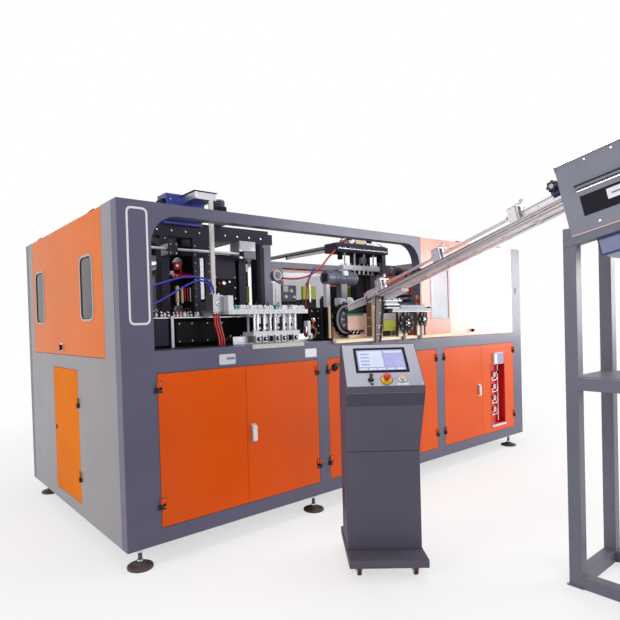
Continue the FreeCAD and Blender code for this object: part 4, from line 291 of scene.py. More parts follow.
NODE_MATERIALS = {
    "grey": ("front_frame", "back_frame"),
    "end": ("end_frames",),
    "orange": ("front_door_one", "front_door_two", "front_door_three", "front_door_four",
               "front_door_five", "front_door_six"),
    "orange_door": ("left_end_door",),
    "orange_end": ("left_guard",),
    "guard_near": ("fixed_covers",),
    "guard": ("service_guard",),
    "red": ("gauge_panel",),
    "cast": ("levelling_feet",),
    # Inside parts take the dark coat, partly their paint and partly painted shade
    "dark": ("machine_bed", "clamp_portal", "gripper_bridge", "oven_body"),
    "black": ("clamp_base", "loading_wheel", "fixed_platens"),
    "plastic": ("door_hinges", "main_switch", "star_knob", "star_wheel_one",
                "star_wheel_two", "selector_switch"),
    "white_plastic": ("door_latch_left", "door_latch_right", "push_button"),
    "red_plastic": ("emergency_stop",),
    "cream": ("loading_ledge",),
    "salmon": ("loader_housing",),
    "lime": ("lime_covers",),
    "blue": ("stretch_drive",),
    "white": ("gripper_bar", "control_cabinet", "transfer_carriage"),
    "slate": ("drive_motors",),
    "steel": ("rods_and_blocks",),
    "leg": ("loading_stand",),
    "bright": ("tie_bars", "stretch_bar", "transfer_rail", "feed_roller_one",
               "feed_roller_two"),
    "alu": ("front_mould", "back_mould"),
    "rail": ("chute_rails", "hold_down"),
    "hopper": ("hopper",),
    "stand": ("feeder_frame",),
    "console": ("console_housing",),
    "display": ("console_display",),
    "pane": ("left_guard_panes",),
    "clear_pane": ("window_pane",),
    "blue_tube": ("blue_hose_upper", "blue_hose_lower"),
    "red_tube": ("red_hose_bundle",),
}


def dress_nodes():
    for key, names in NODE_MATERIALS.items():
        for name in names:
            slots = nodes[name].material_slots
            if not slots:
                nodes[name].data.materials.append(MAT[key])
            for slot in slots:
                slot.material = MAT[key]


# ---- Mesh pieces ------------------------------------------------------------------------------

AXES = {"X": (1, 2, 0), "Y": (2, 0, 1), "Z": (0, 1, 2)}
SHARP = math.radians(32)


def spot(axis, across, up, level):
    """A place from its two coordinates across an axis and its level along it."""
    place = [0, 0, 0]
    for index, value in zip(AXES[axis], (across, up, level)):
        place[index] = value
    return place


def around(across, up, radius, turns):
    """Places on a circle, at turns in degrees."""
    return [(across + radius * math.cos(math.radians(turn)),
             up + radius * math.sin(math.radians(turn))) for turn in turns]


class Kit:
    """Gathers shapes in millimetres, and turns them into one piece that rides on a body."""

    def __init__(self, name, material, body, space):
        self.name = name
        self.material = material
        self.body = body
        self.space = space
        self.replaced = ()
        self.mesh = bmesh.new()

    def faces(self, points, faces):
        made = [self.mesh.verts.new(point) for point in points]
        for face in faces:
            self.mesh.faces.new([made[index] for index in face])
        return self

    def box(self, left, right, front, back, low, high, chamfer=1.0):
        """A block between its limits along X, Y and Z, with its edges taken off."""
        limits = ((left, right), (front, back), (low, high))
        middle = [(a + b) / 2 for a, b in limits]
        half = [abs(b - a) / 2 for a, b in limits]
        cut = min(chamfer, 0.45 * min(half))
        signs = [(a, b, c) for a in (-1, 1) for b in (-1, 1) for c in (-1, 1)]
        points = []
        index = {}
        for corner in signs:
            for axis in range(3):
                place = [middle[i] + corner[i] * (half[i] - (0 if i == axis else cut))
                         for i in range(3)]
                index[corner, axis] = len(points)
                points.append(place)
        faces = []
        for axis in range(3):
            for sign in (-1, 1):
                ring = []
                for a, b in ((-1, -1), (1, -1), (1, 1), (-1, 1)):
                    corner = [a, b]
                    corner.insert(axis, sign)
                    ring.append(index[tuple(corner), axis])
                faces.append(ring)
            one, two = [i for i in range(3) if i != axis]
            for a in (-1, 1):
                for b in (-1, 1):
                    ends = []
                    for sign in (-1, 1):
                        corner = [0, 0, 0]
                        corner[axis], corner[one], corner[two] = sign, a, b
                        ends.append(tuple(corner))
                    faces.append([index[ends[0], one], index[ends[1], one],
                                  index[ends[1], two], index[ends[0], two]])
        for corner in signs:
            faces.append([index[corner, axis] for axis in range(3)])
        return self.faces(points, faces)

    def skin(self, rings):
        """Rings with as many points each, joined in order, with both ends closed."""
        count = len(rings[0])
        last = (len(rings) - 1) * count
        faces = []
        for start in range(0, last, count):
            for step in range(count):
                after = (step + 1) % count
                faces.append([start + step, start + after, start + count + after,
                              start + count + step])
        faces += [list(range(count)), list(range(last, last + count))]
        return self.faces([point for ring in rings for point in ring], faces)

    def lathe(self, at, axis, profile, segments=24):
        """A profile of (radius, height) pairs turned round an axis; its ends are closed."""
        a, b, c = AXES[axis]
        turns = [2 * math.pi * step / segments for step in range(segments)]
        return self.skin([[spot(axis, at[a] + radius * math.cos(turn),
                                at[b] + radius * math.sin(turn), at[c] + height)
                           for turn in turns] for radius, height in profile])

    def rod(self, at, axis, radius, length, chamfer=0.8, segments=20):
        cut = min(chamfer, radius * 0.4, abs(length) * 0.3)
        sign = 1 if length > 0 else -1
        return self.lathe(at, axis, ((radius - cut, 0), (radius, sign * cut),
                                     (radius, length - sign * cut), (radius - cut, length)),
                          segments)

    def ring(self, at, axis, outer, inner, length, segments=28):
        return self.lathe(at, axis, ((inner, 0), (outer, 0), (outer, length), (inner, length),
                                     (inner, 0.01)), segments)

    def screws(self, x, y, z, *size):
        """Cap screws at every place that the coordinates make; each is a number or a row."""
        rows = [row if hasattr(row, "__iter__") else (row,) for row in (x, y, z)]
        for place in itertools.product(*rows):
            self.screw(place, *size)

    def screw(self, at, axis, radius, height):
        """A cap screw: a drum with a recess; height may be negative."""
        sign = 1 if height > 0 else -1
        return self.lathe(at, axis, ((radius, 0), (radius, height - sign * radius * 0.15),
                                     (radius * 0.85, height), (radius * 0.5, height),
                                     (radius * 0.45, height - sign * radius * 0.5)), 12)

    def hexagon(self, at, axis, radius, height):
        return self.lathe(at, axis, ((radius, 0), (radius, height * 0.85),
                                     (radius * 0.86, height)), 6)

    def prism(self, outline, axis, start, end):
        """A flat outline in the plane across an axis, pulled along it."""
        return self.skin([[spot(axis, across, up, level) for across, up in outline]
                          for level in (start, end)])

    def frame(self, outer, inner, axis, start, end):
        """The band between two outlines with as many points each."""
        points = [spot(axis, across, up, level) for level in (start, end)
                  for outline in (outer, inner) for across, up in outline]
        count = len(outer)
        faces = []
        for step in range(count):
            after = (step + 1) % count
            for low, high in ((0, count), (2 * count, 3 * count), (0, 2 * count),
                              (count, 3 * count)):
                faces.append([low + step, low + after, high + after, high + step])
        return self.faces(points, faces)

    def pipe(self, points, radius, segments=10):
        """A bent pipe through points, with its ends closed."""
        places = [Vector(point) for point in points]
        turns = [2 * math.pi * step / segments for step in range(segments)]
        rings = []
        side = None
        for number, place in enumerate(places):
            before = places[max(0, number - 1)]
            after = places[min(len(places) - 1, number + 1)]
            along = (after - before).normalized()
            if side is None:
                side = along.orthogonal().normalized()
            side = (side - along * side.dot(along)).normalized()
            other = along.cross(side)
            rings.append([place + (side * math.cos(turn) + other * math.sin(turn)) * radius
                          for turn in turns])
        return self.skin(rings)

    def done(self):
        bmesh.ops.recalc_face_normals(self.mesh, faces=self.mesh.faces)
        self.mesh.transform(self.space)
        for face in self.mesh.faces:
            face.smooth = True
        for edge in self.mesh.edges:
            if len(edge.link_faces) == 2 and edge.calc_face_angle(0.0) > SHARP:
                edge.smooth = False
        data = bpy.data.meshes.new(self.name)
        self.mesh.to_mesh(data)
        self.mesh.free()
        data.materials.append(MAT[self.material])
        piece = bpy.data.objects.new(self.name, data)
        bpy.context.scene.collection.objects.link(piece)
        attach(piece, self.body)
        if self.replaced:
            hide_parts(*self.replaced)


def rounded(x, z, radius, steps=6):
    """A rectangle with round corners as an outline."""
    outline = []
    left, right, low, high = x[0] + radius, x[1] - radius, z[0] + radius, z[1] - radius
    for cx, cz, start in ((right, high, 0), (left, high, 90), (left, low, 180),
                          (right, low, 270)):
        for step in range(steps + 1):
            turn = math.radians(start + 90 * step / steps)
            outline.append((cx + radius * math.cos(turn), cz + radius * math.sin(turn)))
    return outline


def border(outer, inner):
    """Two outlines across Y, each from its limits along X, along Z, and its corner radius."""
    return [flip(rounded(row[0:2], row[2:4], *row[4:])) for row in (outer, inner)]


def flip(outline):
    """Swap an outline's two directions, for the plane across Y."""
    return [(up, across) for across, up in outline]


# ---- Hoses ------------------------------------------------------------------------------------

BLUE_UPPER = ((766, 252, 1585), (766, 252, 1640), (722, 251, 1688), (640, 250, 1706),
              (540, 248, 1700), (440, 246, 1676), (345, 243, 1645), (250, 239, 1616),
              (155, 236, 1603), (60, 236, 1603))
BLUE_LOWER = ((755, 276, 1585), (755, 276, 1636), (719, 275, 1678), (655, 272, 1684),
              (580, 268, 1656), (494, 263, 1610), (406, 257, 1562), (316, 250, 1519),
              (230, 242, 1492), (145, 236, 1481), (60, 236, 1481))
RED_ARC = ((1482, 508, 1752), (1530, 502, 1751), (1610, 484, 1743), (1700, 477, 1742),
           (1790, 472, 1757), (1885, 464, 1792), (1962, 456, 1843), (2014, 450, 1900),
           (2065, 446, 1953), (2138, 440, 2008))
RED_BUNDLE = ((764, 254, 1469), (764, 254, 1428), (768, 253, 1386), (780, 252, 1342),
              (791, 251, 1300), (796, 250, 1268), (796, 250, 1238))


def hose(name, route, diameter, material, replaced=None):
    data = bpy.data.curves.new(name, "CURVE")
    data.dimensions = "3D"
    data.bevel_depth = diameter / 2000
    data.bevel_resolution = 4
    data.resolution_u = 12
    data.use_fill_caps = True
    spline = data.splines.new("NURBS")
    spline.points.add(len(route) - 1)
    for point, place in zip(spline.points, route):
        point.co = (*(MACHINE @ Vector(place)), 1)
    spline.order_u = 3
    spline.use_endpoint_u = True
    data.materials.append(MAT[material])
    piece = bpy.data.objects.new(name, data)
    bpy.context.scene.collection.objects.link(piece)
    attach(piece, "cabinet")
    if replaced:
        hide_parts(replaced)
    tuple(MACHINE @ Vector(route[0]))


def hoses():
    hose("blue_hose_one", BLUE_UPPER, 12, "blue_tube", "blue_hose_upper")
    hose("blue_hose_two", BLUE_LOWER, 12, "blue_tube", "blue_hose_lower")
    for number, step in enumerate((0, 20, 40)):
        route = [(x + step, y, z) for x, y, z in RED_BUNDLE]
        hose("red_hose_%d" % number, route, 14, "red_tube", "red_hose_bundle")
    hose("red_hose_arc", RED_ARC, 16, "red_tube")


class Cluster:
    """Pieces of one sub-part, one for each finish, that ride together."""

    every = []

    def __init__(self, name, body="cabinet", space=MACHINE, replaces=()):
        self.name = name
        self.body = body
        self.space = space
        self.replaced = replaces
        self.kits = {}
        self.every.append(self)

    def __getitem__(self, material):
        if material not in self.kits:
            self.kits[material] = Kit("%s_%s" % (self.name, material), material, self.body,
                                      self.space)
        return self.kits[material]

    def __getattr__(self, finish):
        return self[finish]

    def boxes(self, *rows):
        """Blocks: a finish, the limits along X, Y and Z, and a chamfer where it isn't 1."""
        for finish, *limits in rows:
            self[finish].box(*limits)

    def done(self):
        for kit in self.kits.values():
            kit.replaced, self.replaced = self.replaced, ()
            kit.done()


# ---- Cabinet details --------------------------------------------------------------------------

HINGED = (("front_door_one", 212.5, 1), ("front_door_two", 1470.5, -1),
          ("front_door_three", 1576.5, 1), ("front_door_four", 2932.5, -1),
          ("front_door_five", 3049.5, 1), ("front_door_six", 4309.5, -1))
SWITCH = (1644, 1037)


def cabinet_trim():
    c = Cluster("cabinet_trim")
    c.white.frame(*border((54, 184, 1392, 2060, 32), (66, 172, 1404, 2048, 21)), "Y", -0.8, 0)
    c.plate.frame(*border((635, 758, 1128, 1194, 6), (638, 755, 1131, 1191, 4)), "Y", -1.6, 0)
    c.boxes(("plate", 637, 756, -1.1, 0, 1130, 1192, 0.3),
            ("slate", 690, 752, -1.4, -1.0, 1158, 1172, 0.1),
            ("white", 1355, 1465, -1.5, 0, 1130, 1191, 0.5))
    c.bright.screws((641, 752), -1.5, (1134, 1188), "Y", 2.4, -1.2)
    c.bright.screws((1361, 1459), -1.5, (1136, 1185), "Y", 2.4, -1.2)
    c.boxes(("strip", 890, 1340, -10, 0, 1214, 1241, 1.5),
            ("strip", 890, 1340, -10, 60, 1238.2, 1243),
            ("black", 1630, 1639.6, 2, 270, 1238.2, 1256))
    c.bright.screws(range(920, 1330, 65), -10, 1227, "Y", 4, -2.5)
    c.boxes(("black", 4378, 4391, -2.5, 0, 1620, 1686),
            ("plate", 3899, 4179, -1.2, 0, 1761, 1813, 0.4))
    c.bright.screws((3908, 4170), -1.2, 1787, "Y", 3, -1.4)
    # Joint lines of the frame: thin shadow gaps where its tubes meet
    for x in (211, 1472, 1575, 2934, 3048, 4311):
        for z in (209, 1109):
            c.dark.box(x - 0.5, x + 0.5, -0.3, 0, z - 4, z + 4, 0.1)
    # Rear and right side trim
    c.bright.screws((240, 1440, 1610, 2900, 3080, 4280), 2035.5, (230, 660, 1090), "Y", 6, 2.5)
    c.bright.screws((2760, 3500, 4284), 2035.5, (1235, 1650, 2060), "Y", 6, 2.5)
    c.bright.screws(4485.5, (262, 1040, 1820), (1225, 1650, 2060), "X", 6, 2.5)


def door_trim():
    for name, axis, side in HINGED:
        c = Cluster(name + "_trim", name)
        for z in (350, 1029):
            near = axis + side * 9
            c.black.box(near, near + side * 18, -2.5, 0, z - 33, z + 33, 0.8)
            c.bright.screws(near + side * 9, -2.5, (z - 20, z + 20), "Y", 3.4, -1.6)
        if name == "front_door_three":
            c.black.lathe((SWITCH[0], 0, SWITCH[1]), "Y", ((30, 0), (30, -2), (28, -4), (20, -5)),
                          32)
            for x, z in around(*SWITCH, 25, range(0, 360, 45)):
                c.white.rod((x, -3.6, z), "Y", 1.4, -0.9, 0.2, 8)
        if name in ("front_door_two", "front_door_five"):
            x = 887 if name == "front_door_two" else 3633
            c.bright.box(x - 19, x + 19, -1.5, 0, 606, 724)
    c = Cluster("end_door_trim", "left_end_door")
    for z in (390, 885):
        c.black.box(-2.5, 0, 776, 794, z - 33, z + 33, 0.8)
        c.bright.screws(-2.5, 785, (z - 20, z + 20), "X", 3.4, -1.6)
    c.black.lathe((0, 1296, 655), "X", ((16, 0), (16, -3), (13, -5), (8, -5.5)), 24)
    c.bright.rod((-5.5, 1296, 655), "X", 6, -2)


def door_pulls():
    """White paddle pulls with a finger grip, a hub and a key barrel."""
    for node in ("door_latch_left", "door_latch_right"):
        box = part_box(node)
        low = [value * 1000 + shift for value, shift in zip(box[0], ORIGIN)]
        high = [value * 1000 + shift for value, shift in zip(box[1], ORIGIN)]
        c = Cluster(node + "_pull", node, replaces=(node,))
        middle = (low[0] + high[0]) / 2
        grip = flip(rounded((low[0], high[0]), (low[2], high[2]), 13, 8))
        inner = flip(rounded((low[0] + 5, high[0] - 5), (low[2] + 5, high[2] - 5), 8, 8))
        c.white_plastic.frame(grip, inner, "Y", low[1] + 1.5, low[1] + 11)
        c.white_plastic.prism(inner, "Y", low[1] + 3, low[1] + 10)
        c.white_plastic.box(low[0] + 9, high[0] - 9, low[1], low[1] + 5, low[2] + 12, low[2] + 46,
                            1.5)
        c.bright.lathe((middle, low[1], high[2] - 16), "Y", ((8, 3), (8, 0.8), (7, 0), (2.5, 0),
                                                             (2.5, 1.4)), 20)
        c.steel.rod((middle, low[1] + 9, high[2] - 16), "Y", 8, high[1] - low[1] - 9)


def main_switch():
    c = Cluster("rotary_switch", "main_switch", replaces=("main_switch",))
    c.plastic.lathe((SWITCH[0], -6, SWITCH[1]), "Y", ((19, 0), (19, -14), (17, -18), (12, -20)),
                    28)
    turn = math.radians(34)
    along = Vector((math.cos(turn), 0, math.sin(turn)))
    across = Vector((-math.sin(turn), 0, math.cos(turn)))
    hub = Vector((SWITCH[0], 0, SWITCH[1]))
    half = ((-17, 7), (-6, 10), (30, 9), (62, 7), (68, 4))
    outline = [hub + along * run + across * out for run, out in half]
    outline += [hub + along * run - across * out for run, out in reversed(half)]
    c.plastic.prism([(point.z, point.x) for point in outline], "Y", -26, -17)
    for sign in (-1, 1):
        for run in (34, 42, 50):
            place = hub + along * run + across * sign * 5
            c.plastic.rod((place.x, -26, place.z), "Y", 1.6, -0.8, 0.2, 8)
    c.white.rod((hub.x + 12 * along.x, -26, hub.z + 12 * along.z), "Y", 2.2, -0.6, 0.1, 10)
    c.steel.rod((SWITCH[0], -6, SWITCH[1]), "Y", 7.5, 20)


def guard_trim():
    c = Cluster("left_guard_trim", "left_guard")
    for near, far in ((418, 639), (1524, 1745)):
        c.gasket.frame(rounded((near - 11, far + 11), (1428, 1846), 58),
                       rounded((near + 2, far - 2), (1441, 1833), 46), "X", -4, 0.5)
        c.rubber.frame(rounded((near + 2, far - 2), (1441, 1833), 46), rounded((near + 8, far - 8),
                                                                               (1447, 1827), 41),
                       "X", -2.5, 1.5)
    c.bright.box(-3, 0, 1072, 1134, 1226, 1282)
    c.steel.screws(-3, (1078, 1128), (1232, 1276), "X", 2.6, -1.4)
    c.black.lathe((0, 1103, 1253), "X", ((17, -3), (17, -6), (14, -9), (10, -10)), 24)
    c.boxes(("black", -15, -6, 1080, 1126, 1258, 1272, 2),
            ("black", -15, -6, 1096, 1110, 1230, 1262, 2))
    c.bright.screws(0, (290, 560, 830, 1290, 1560, 1800), (1216, 2082), "X", 4, -2.2)
    c = Cluster("service_guard_trim", "service_guard")
    c.bright.box(3500, 3556, -3, 0, 1236, 1276)
    c.black.lathe((3527, 0, 1257), "Y", ((16, -3), (16, -6), (13, -10), (8, -11)), 24)
    c.boxes(("black", 3504, 3550, -21, -9, 1262, 1274, 3),
            ("black", 3520, 3534, -20, -9, 1240, 1264, 3),
            ("slate", 3452, 3458, -3, 0, 1244, 1268, 0.8),
            ("slate", 3452, 3472, -3, 0, 1244, 1249, 0.8))
    c = Cluster("window_trim")
    c.gasket.frame(*border((2866, 3152, 1376, 1834, 8), (2878, 3140, 1388, 1822, 5)),
                   "Y", -2.5, 0.2)
    c.bright.screws((2750, 3152), 0, (1225, 1500, 1800, 2080), "Y", 4, -2.2)
    # Frame of tubes and a box that show through the windows of the left end.
    c = Cluster("end_rack")
    c.rubber.pipe(((55, 470, 1238), (55, 470, 1990)), 11, 12)
    c.rubber.pipe(((55, 470, 1752), (55, 690, 1752)), 9, 12)
    c.rubber.pipe(((58, 478, 1735), (58, 625, 1655), (58, 478, 1570)), 9, 12)
    c.rubber.pipe(((58, 478, 1800), (58, 560, 1870)), 9, 12)
    c.slate.box(48, 92, 440, 690, 1240, 1530, 4)
    c.bright.pipe(((75, 1560, 1238), (75, 1560, 1990)), 8, 12)
    c.slate.box(70, 110, 1600, 1745, 1240, 1700, 4)
    c.rubber.pipe(((60, 1730, 1240), (60, 1715, 1560), (60, 1735, 1990)), 12, 12)


def gauge_details():
    c = Cluster("gauge_fittings", "front_door_six")
    for index in range(4):
        z = 433 + 118 * index
        c.bright.lathe((3942, 16, z), "Y", ((26, 0), (26, -7), (24, -9), (22, -9), (22, -5)), 36)
        c.dial.rod((3942, 16, z), "Y", 22, -4.4, 0.2, 36)
        for x, up in around(3942, z, 18, range(-30, 211, 30)):
            c.black.box(x - 0.6, x + 0.6, 11, 11.6, up - 1.6, up + 1.6, 0.1)
        turn = math.radians(150 - 35 * index)
        tip = Vector((3942 + 17 * math.cos(turn), 10.8, z + 17 * math.sin(turn)))
        c.black.pipe(((3942, 10.8, z), tuple(tip)), 1.0, 6)
        c.black.rod((3942, 11.8, z), "Y", 3, -2.2, 0.4, 12)
        c.brass.hexagon((3942, 40, z - 40), "Z", 9, 15)
        c.brass.rod((3942, 40, z - 58), "Z", 5, 20)
        c.bright.box(3925, 3962, 30, 52, z - 66, z - 52, 2)
        c.dial.lathe((3985, 40, z - 8), "Y", ((10, 10), (10, -14), (8, -17)), 20)
        c.bright.pipe(((3962, 40, z - 60), (4020, 42, z - 60), (4052, 44, z - 44), (4060, 44, z),
                       (4060, 44, z + 60)), 4, 10)
    c.bright.pipe(((4060, 44, 300), (4060, 44, 880)), 6, 12)
    c.brass.lathe((4000, 18, 806), "Y", ((15, 24), (15, 6), (12, 0), (5, 0)), 24)
    c.black.lathe((4040, 14, 806), "Y", ((13, 28), (13, 6), (16, 2), (14, -6)), 8)
    c.red.frame(*border((3846, 4131, 279, 905, 5), (3855, 4122, 288, 896, 2)), "Y", -2.5, 1)
    c.boxes(("white", 3899, 4078, -17, 1, 898, 1015, 2.5),
            ("display", 3960, 4070, -18.2, -16.5, 906, 1006, 0.6))
    c.gasket.frame(*border((3902, 4074, 902, 1011, 5), (3908, 4068, 908, 1005, 3)),
                   "Y", -18.4, -16.8)
    c.plate.prism([(262, 3852), (262, 4120), (281, 4127), (281, 3850)], "Y", -14, 0)


def feet():
    c = Cluster("feet", replaces=("levelling_feet",))
    for x in (93, 1442, 2560, 4274):
        for y in (52, 1885):
            c.cast.lathe((x, y, 0), "Z", ((72, 0), (75, 2), (75, 12), (72, 15), (58, 19), (38, 24),
                                          (30, 30), (29, 34), (22, 36)), 40)
            c.black.rod((x, y, 34), "Z", 11.6, 86)
            for level in range(38, 92, 4):
                c.steel.lathe((x, y, level), "Z", ((11, 0), (12.6, 1.6), (11, 3.2)), 16)
            c.bright.hexagon((x, y, 92), "Z", 21, 16)
            c.bright.hexagon((x, y, 40), "Z", 19, 10)
            c.bright.lathe((x, y, 108), "Z", ((28, 0), (28, 3), (13, 3.2)), 24)


# ---- Clamp unit -------------------------------------------------------------------------------

def fitting(c, x, y, z, body="plastic", size=14):
    """A small air valve: a square body, a collar on top, a white cap and a stub in front."""
    half = size / 2
    c[body].box(x - half, x + half, y - half, y + half, z, z + size * 1.6, 1.5)
    c.bright.rod((x, y, z + size * 1.6), "Z", half * 0.6, size * 0.4)
    c.white_plastic.box(x - half * 0.8, x + half * 0.8, y - half - 2, y - half + 1, z + size * 0.4,
                        z + size * 1.1, 0.6)
    c.bright.rod((x, y - half, z + size * 0.3), "Y", half * 0.4, -5)


def clamp_details():
    c = Cluster("clamp_trim")
    # Base: silver top edge, recessed front panel, cap screws, cable tray
    c.boxes(("bright", 500, 1500, 331, 359.5, 1431, 1440.5),
            ("bright", 280, 478, 352, 359.5, 1431, 1440.5),
            ("steel", 478, 500, 331, 358, 1238, 1447, 1.5),
            ("black", 520, 900, 343, 359.5, 1262, 1412, 3))
    c.bright.screws((545, 640, 760, 880), 343, (1278, 1396), "Y", 5, -3)
    c.bright.screws(range(960, 1480, 90), 359.5, 1300, "Y", 6, -4)
    c.dark.box(300, 470, 345, 359.5, 1250, 1424, 3)
    # Row of small valves and fittings along the front of the base
    spots = ((330, "dark"), (352, "white"), (400, "white"), (428, "plastic"), (457, "white"),
             (486, "plastic"), (520, "plastic"), (548, "red"), (575, "red"), (602, "white"),
             (628, "plastic"), (655, "dark"), (683, "plastic"), (706, "white"))
    for number, (x, body) in enumerate(spots):
        fitting(c, x, 372 + 6 * (number % 3), 1440, body, 16 + 3 * (number % 2))
    for x in (372, 443, 534, 590, 642):
        c.bright.hexagon((x, 392, 1440), "Z", 7, 12)
        c.bright.rod((x, 392, 1452), "Z", 4, 24)
        c.red_plastic.rod((x, 392, 1476), "Z", 5, 8)
    for number, x in enumerate((360, 420, 500, 560, 620)):
        c.plastic.pipe(((x, 392, 1462), (x + 8, 410, 1495), (x + 30, 430, 1505),
                        (x + 52, 420, 1490), (x + 60, 400, 1462)), 3, 8)
    # Plates and blocks seen between the columns, in front of the fixed platen
    c.boxes(("red", 634, 797, 600, 612, 1729, 1762, 2), ("red", 652, 708, 585, 612, 1786, 1844, 3),
            ("red", 700, 712, 590, 612, 1755, 1790))
    c.bright.screws((646, 672, 730, 785), 600, 1745, "Y", 5, -4)
    c.bright.lathe((668, 585, 1814), "Y", ((13, 0), (13, -8), (9, -11)), 20)
    for x in (622, 636):
        for turn in (-1, 1):
            c.bright.pipe(((x - 8, 590, 1764 - turn * 14), (x + 8, 590, 1764 + turn * 14)), 2.5, 8)
    c.beige.rod((645, 548, 1545), "Z", 12, 121, 3)
    c.bright.rod((645, 548, 1530), "Z", 8, 18)
    c.beige.rod((690, 560, 1545), "Z", 9, 110, 3)
    for x in (716, 738):
        c.red_plastic.rod((x, 566, 1560), "Z", 5, 96, 1)
    c.steel.rod((760, 566, 1556), "Z", 7, 104, 1)
    # Slotted plate: rail, carriage and lime guard seen in its slot
    c.boxes(("bright", 812, 842, 506, 516, 1570, 1870),
            ("lime", 803, 851, 534, 546, 1570, 1668, 2),
            ("steel", 806, 848, 518, 540, 1700, 1760, 3))
    c.bright.lathe((827, 510, 1730), "Y", ((14, 8), (14, -2), (10, -5)), 20)
    c.black.box(806, 848, 516, 540, 1780, 1850, 3)
    c.bright.screws((770, 884), 500, range(1470, 2000, 60), "Y", 4.5, -3)
    # Columns' caps, foot plates and cap screws
    for left, right in ((506, 566), (1148, 1214), (1319, 1459)):
        c.dark.box(left - 14, right + 14, 486, 594, 1440, 1456, 2)
        c.bright.screws((left - 7, right + 7), (496, 584), 1456, "Z", 5, 5)
        c.bright.screws((left + right) / 2, 500, (1480, 1990), "Y", 6, -4)
    c.boxes(("slate", 1389, 1459, 497.5, 500, 1458, 2004),
            ("black", 1319, 1352, 496, 500, 1458, 2004))
    c.bright.screws(range(480, 1470, 110), 500, 2047, "Y", 7, -4.5)
    # Dark cylinder block between the middle columns with its gauge and lines
    c.boxes(("black", 920, 1120, 500, 560, 1560, 1905, 5),
            ("dark", 930, 1110, 492, 500, 1720, 1895, 3))
    c.bright.lathe((1000, 492, 1690), "Y", ((16, 0), (16, -9), (12, -12), (5, -12)), 24)
    c.red_plastic.lathe((960, 492, 1690), "Y", ((9, 0), (9, -10), (7, -12)), 16)
    c.bright.lathe((1046, 492, 1700), "Y", ((10, 0), (10, -14), (7, -16)), 6)
    c.bright.screws((936, 1104), 500, (1576, 1660, 1736, 1880), "Y", 5, -9)
    c.salmon.box(1222, 1262, 540, 560, 1790, 1850, 2)
    c.bright.pipe(((1218, 545, 1760), (1250, 545, 1800), (1290, 548, 1850)), 5, 8)
    # Hose manifold: collars, hexagons and screws
    for x in (766, 755, 800):
        c.bright.hexagon((x, 252 if x != 755 else 276, 1585), "Z", 10, 12)
    for x in (764, 784, 804):
        c.bright.hexagon((x, 254, 1457), "Z", 11, 12)
    c.steel.screws((756, 814), 232, (1482, 1572), "Y", 4.5, -3)
    c.bright.lathe((785, 232, 1527), "Y", ((17, 0), (17, -6), (13, -9), (6, -9), (6, -4)), 24)
    c.rubber.lathe((785, 232, 1527), "Y", ((6, 0), (6, -12), (4, -14)), 16)
    c.bright.box(830, 848, 236, 320, 1478, 1576, 2)
    for z in (1492, 1527, 1562):
        c.steel.hexagon((848, 262, z), "X", 8, 9)
    # Top of the machine: drive, cap and motor details
    c.boxes(("blue", 540, 700, 424, 432, 2140, 2256, 3),
            ("blue", 704, 800, 422, 432, 2170, 2268, 3))
    c.bright.screws((552, 688, 712, 792), 424, (2152, 2245), "Y", 5, -4)
    for x in range(556, 690, 16):
        c.blue.box(x, x + 6, 418, 426, 2160, 2236)
    c.black.box(500, 536, 440, 540, 2140, 2250, 4)
    c.bright.rod((478, 490, 2196), "X", 14, 26, 2)
    c.boxes(("black", 655, 836, 279, 436, 2284, 2291, 2),
            ("bright", 663, 680, 281, 286, 2240, 2284))
    for z in range(2130, 2286, 12):
        c.black.lathe((963, 470, z), "Z", ((44, 0), (47, 2), (47, 5), (44, 7)), 32)
    c.black.lathe((963, 470, 2289), "Z", ((43, 0), (40, 3), (20, 4)), 32)
    c.black.box(930, 996, 408, 432, 2180, 2240, 5)
    # Rod collars and the flat cover of the tall rod
    c = Cluster("rod_trim")
    c.boxes(("tall", 772, 804, 284, 300, 1585, 2236, 1.5),
            ("dark", 500, 571, 374, 384, 1858, 1944, 3))
    c.bright.screws((514, 557), 374, (1872, 1930), "Y", 4.5, -3)
    c.boxes(("plate", 1080, 1176, 374, 381, 1934, 1992, 3),
            ("slate", 1110, 1216, 372, 381, 1868, 1926, 4))
    c.bright.lathe((1080, 400, 1901), "X", ((15, -10), (15, -2), (13, 0)), 20)
    c.black.box(1076, 1108, 376, 384, 1880, 1918, 3)
    c.bright.screws((1092, 1164), 374, (1944, 1982), "Y", 3.6, -2.4)


def mould_details():
    for body, sign, face in (("front_mould", -1, 760), ("back_mould", 1, 1280)):
        c = Cluster(body + "_trim", body)
        c.bright.screws((700, 985, 1270), face, (1476, 1868), "Y", 9, sign * 6)
        back = face - sign * 60
        for x in (797.5, 922.5, 1047.5, 1172.5):
            c.brass.hexagon((x, back, 1860), "Z", 8, 12)
        c.bright.pipe(((797.5, back, 1868), (922.5, back, 1882), (1047.5, back, 1882),
                       (1172.5, back, 1868)), 4, 8)


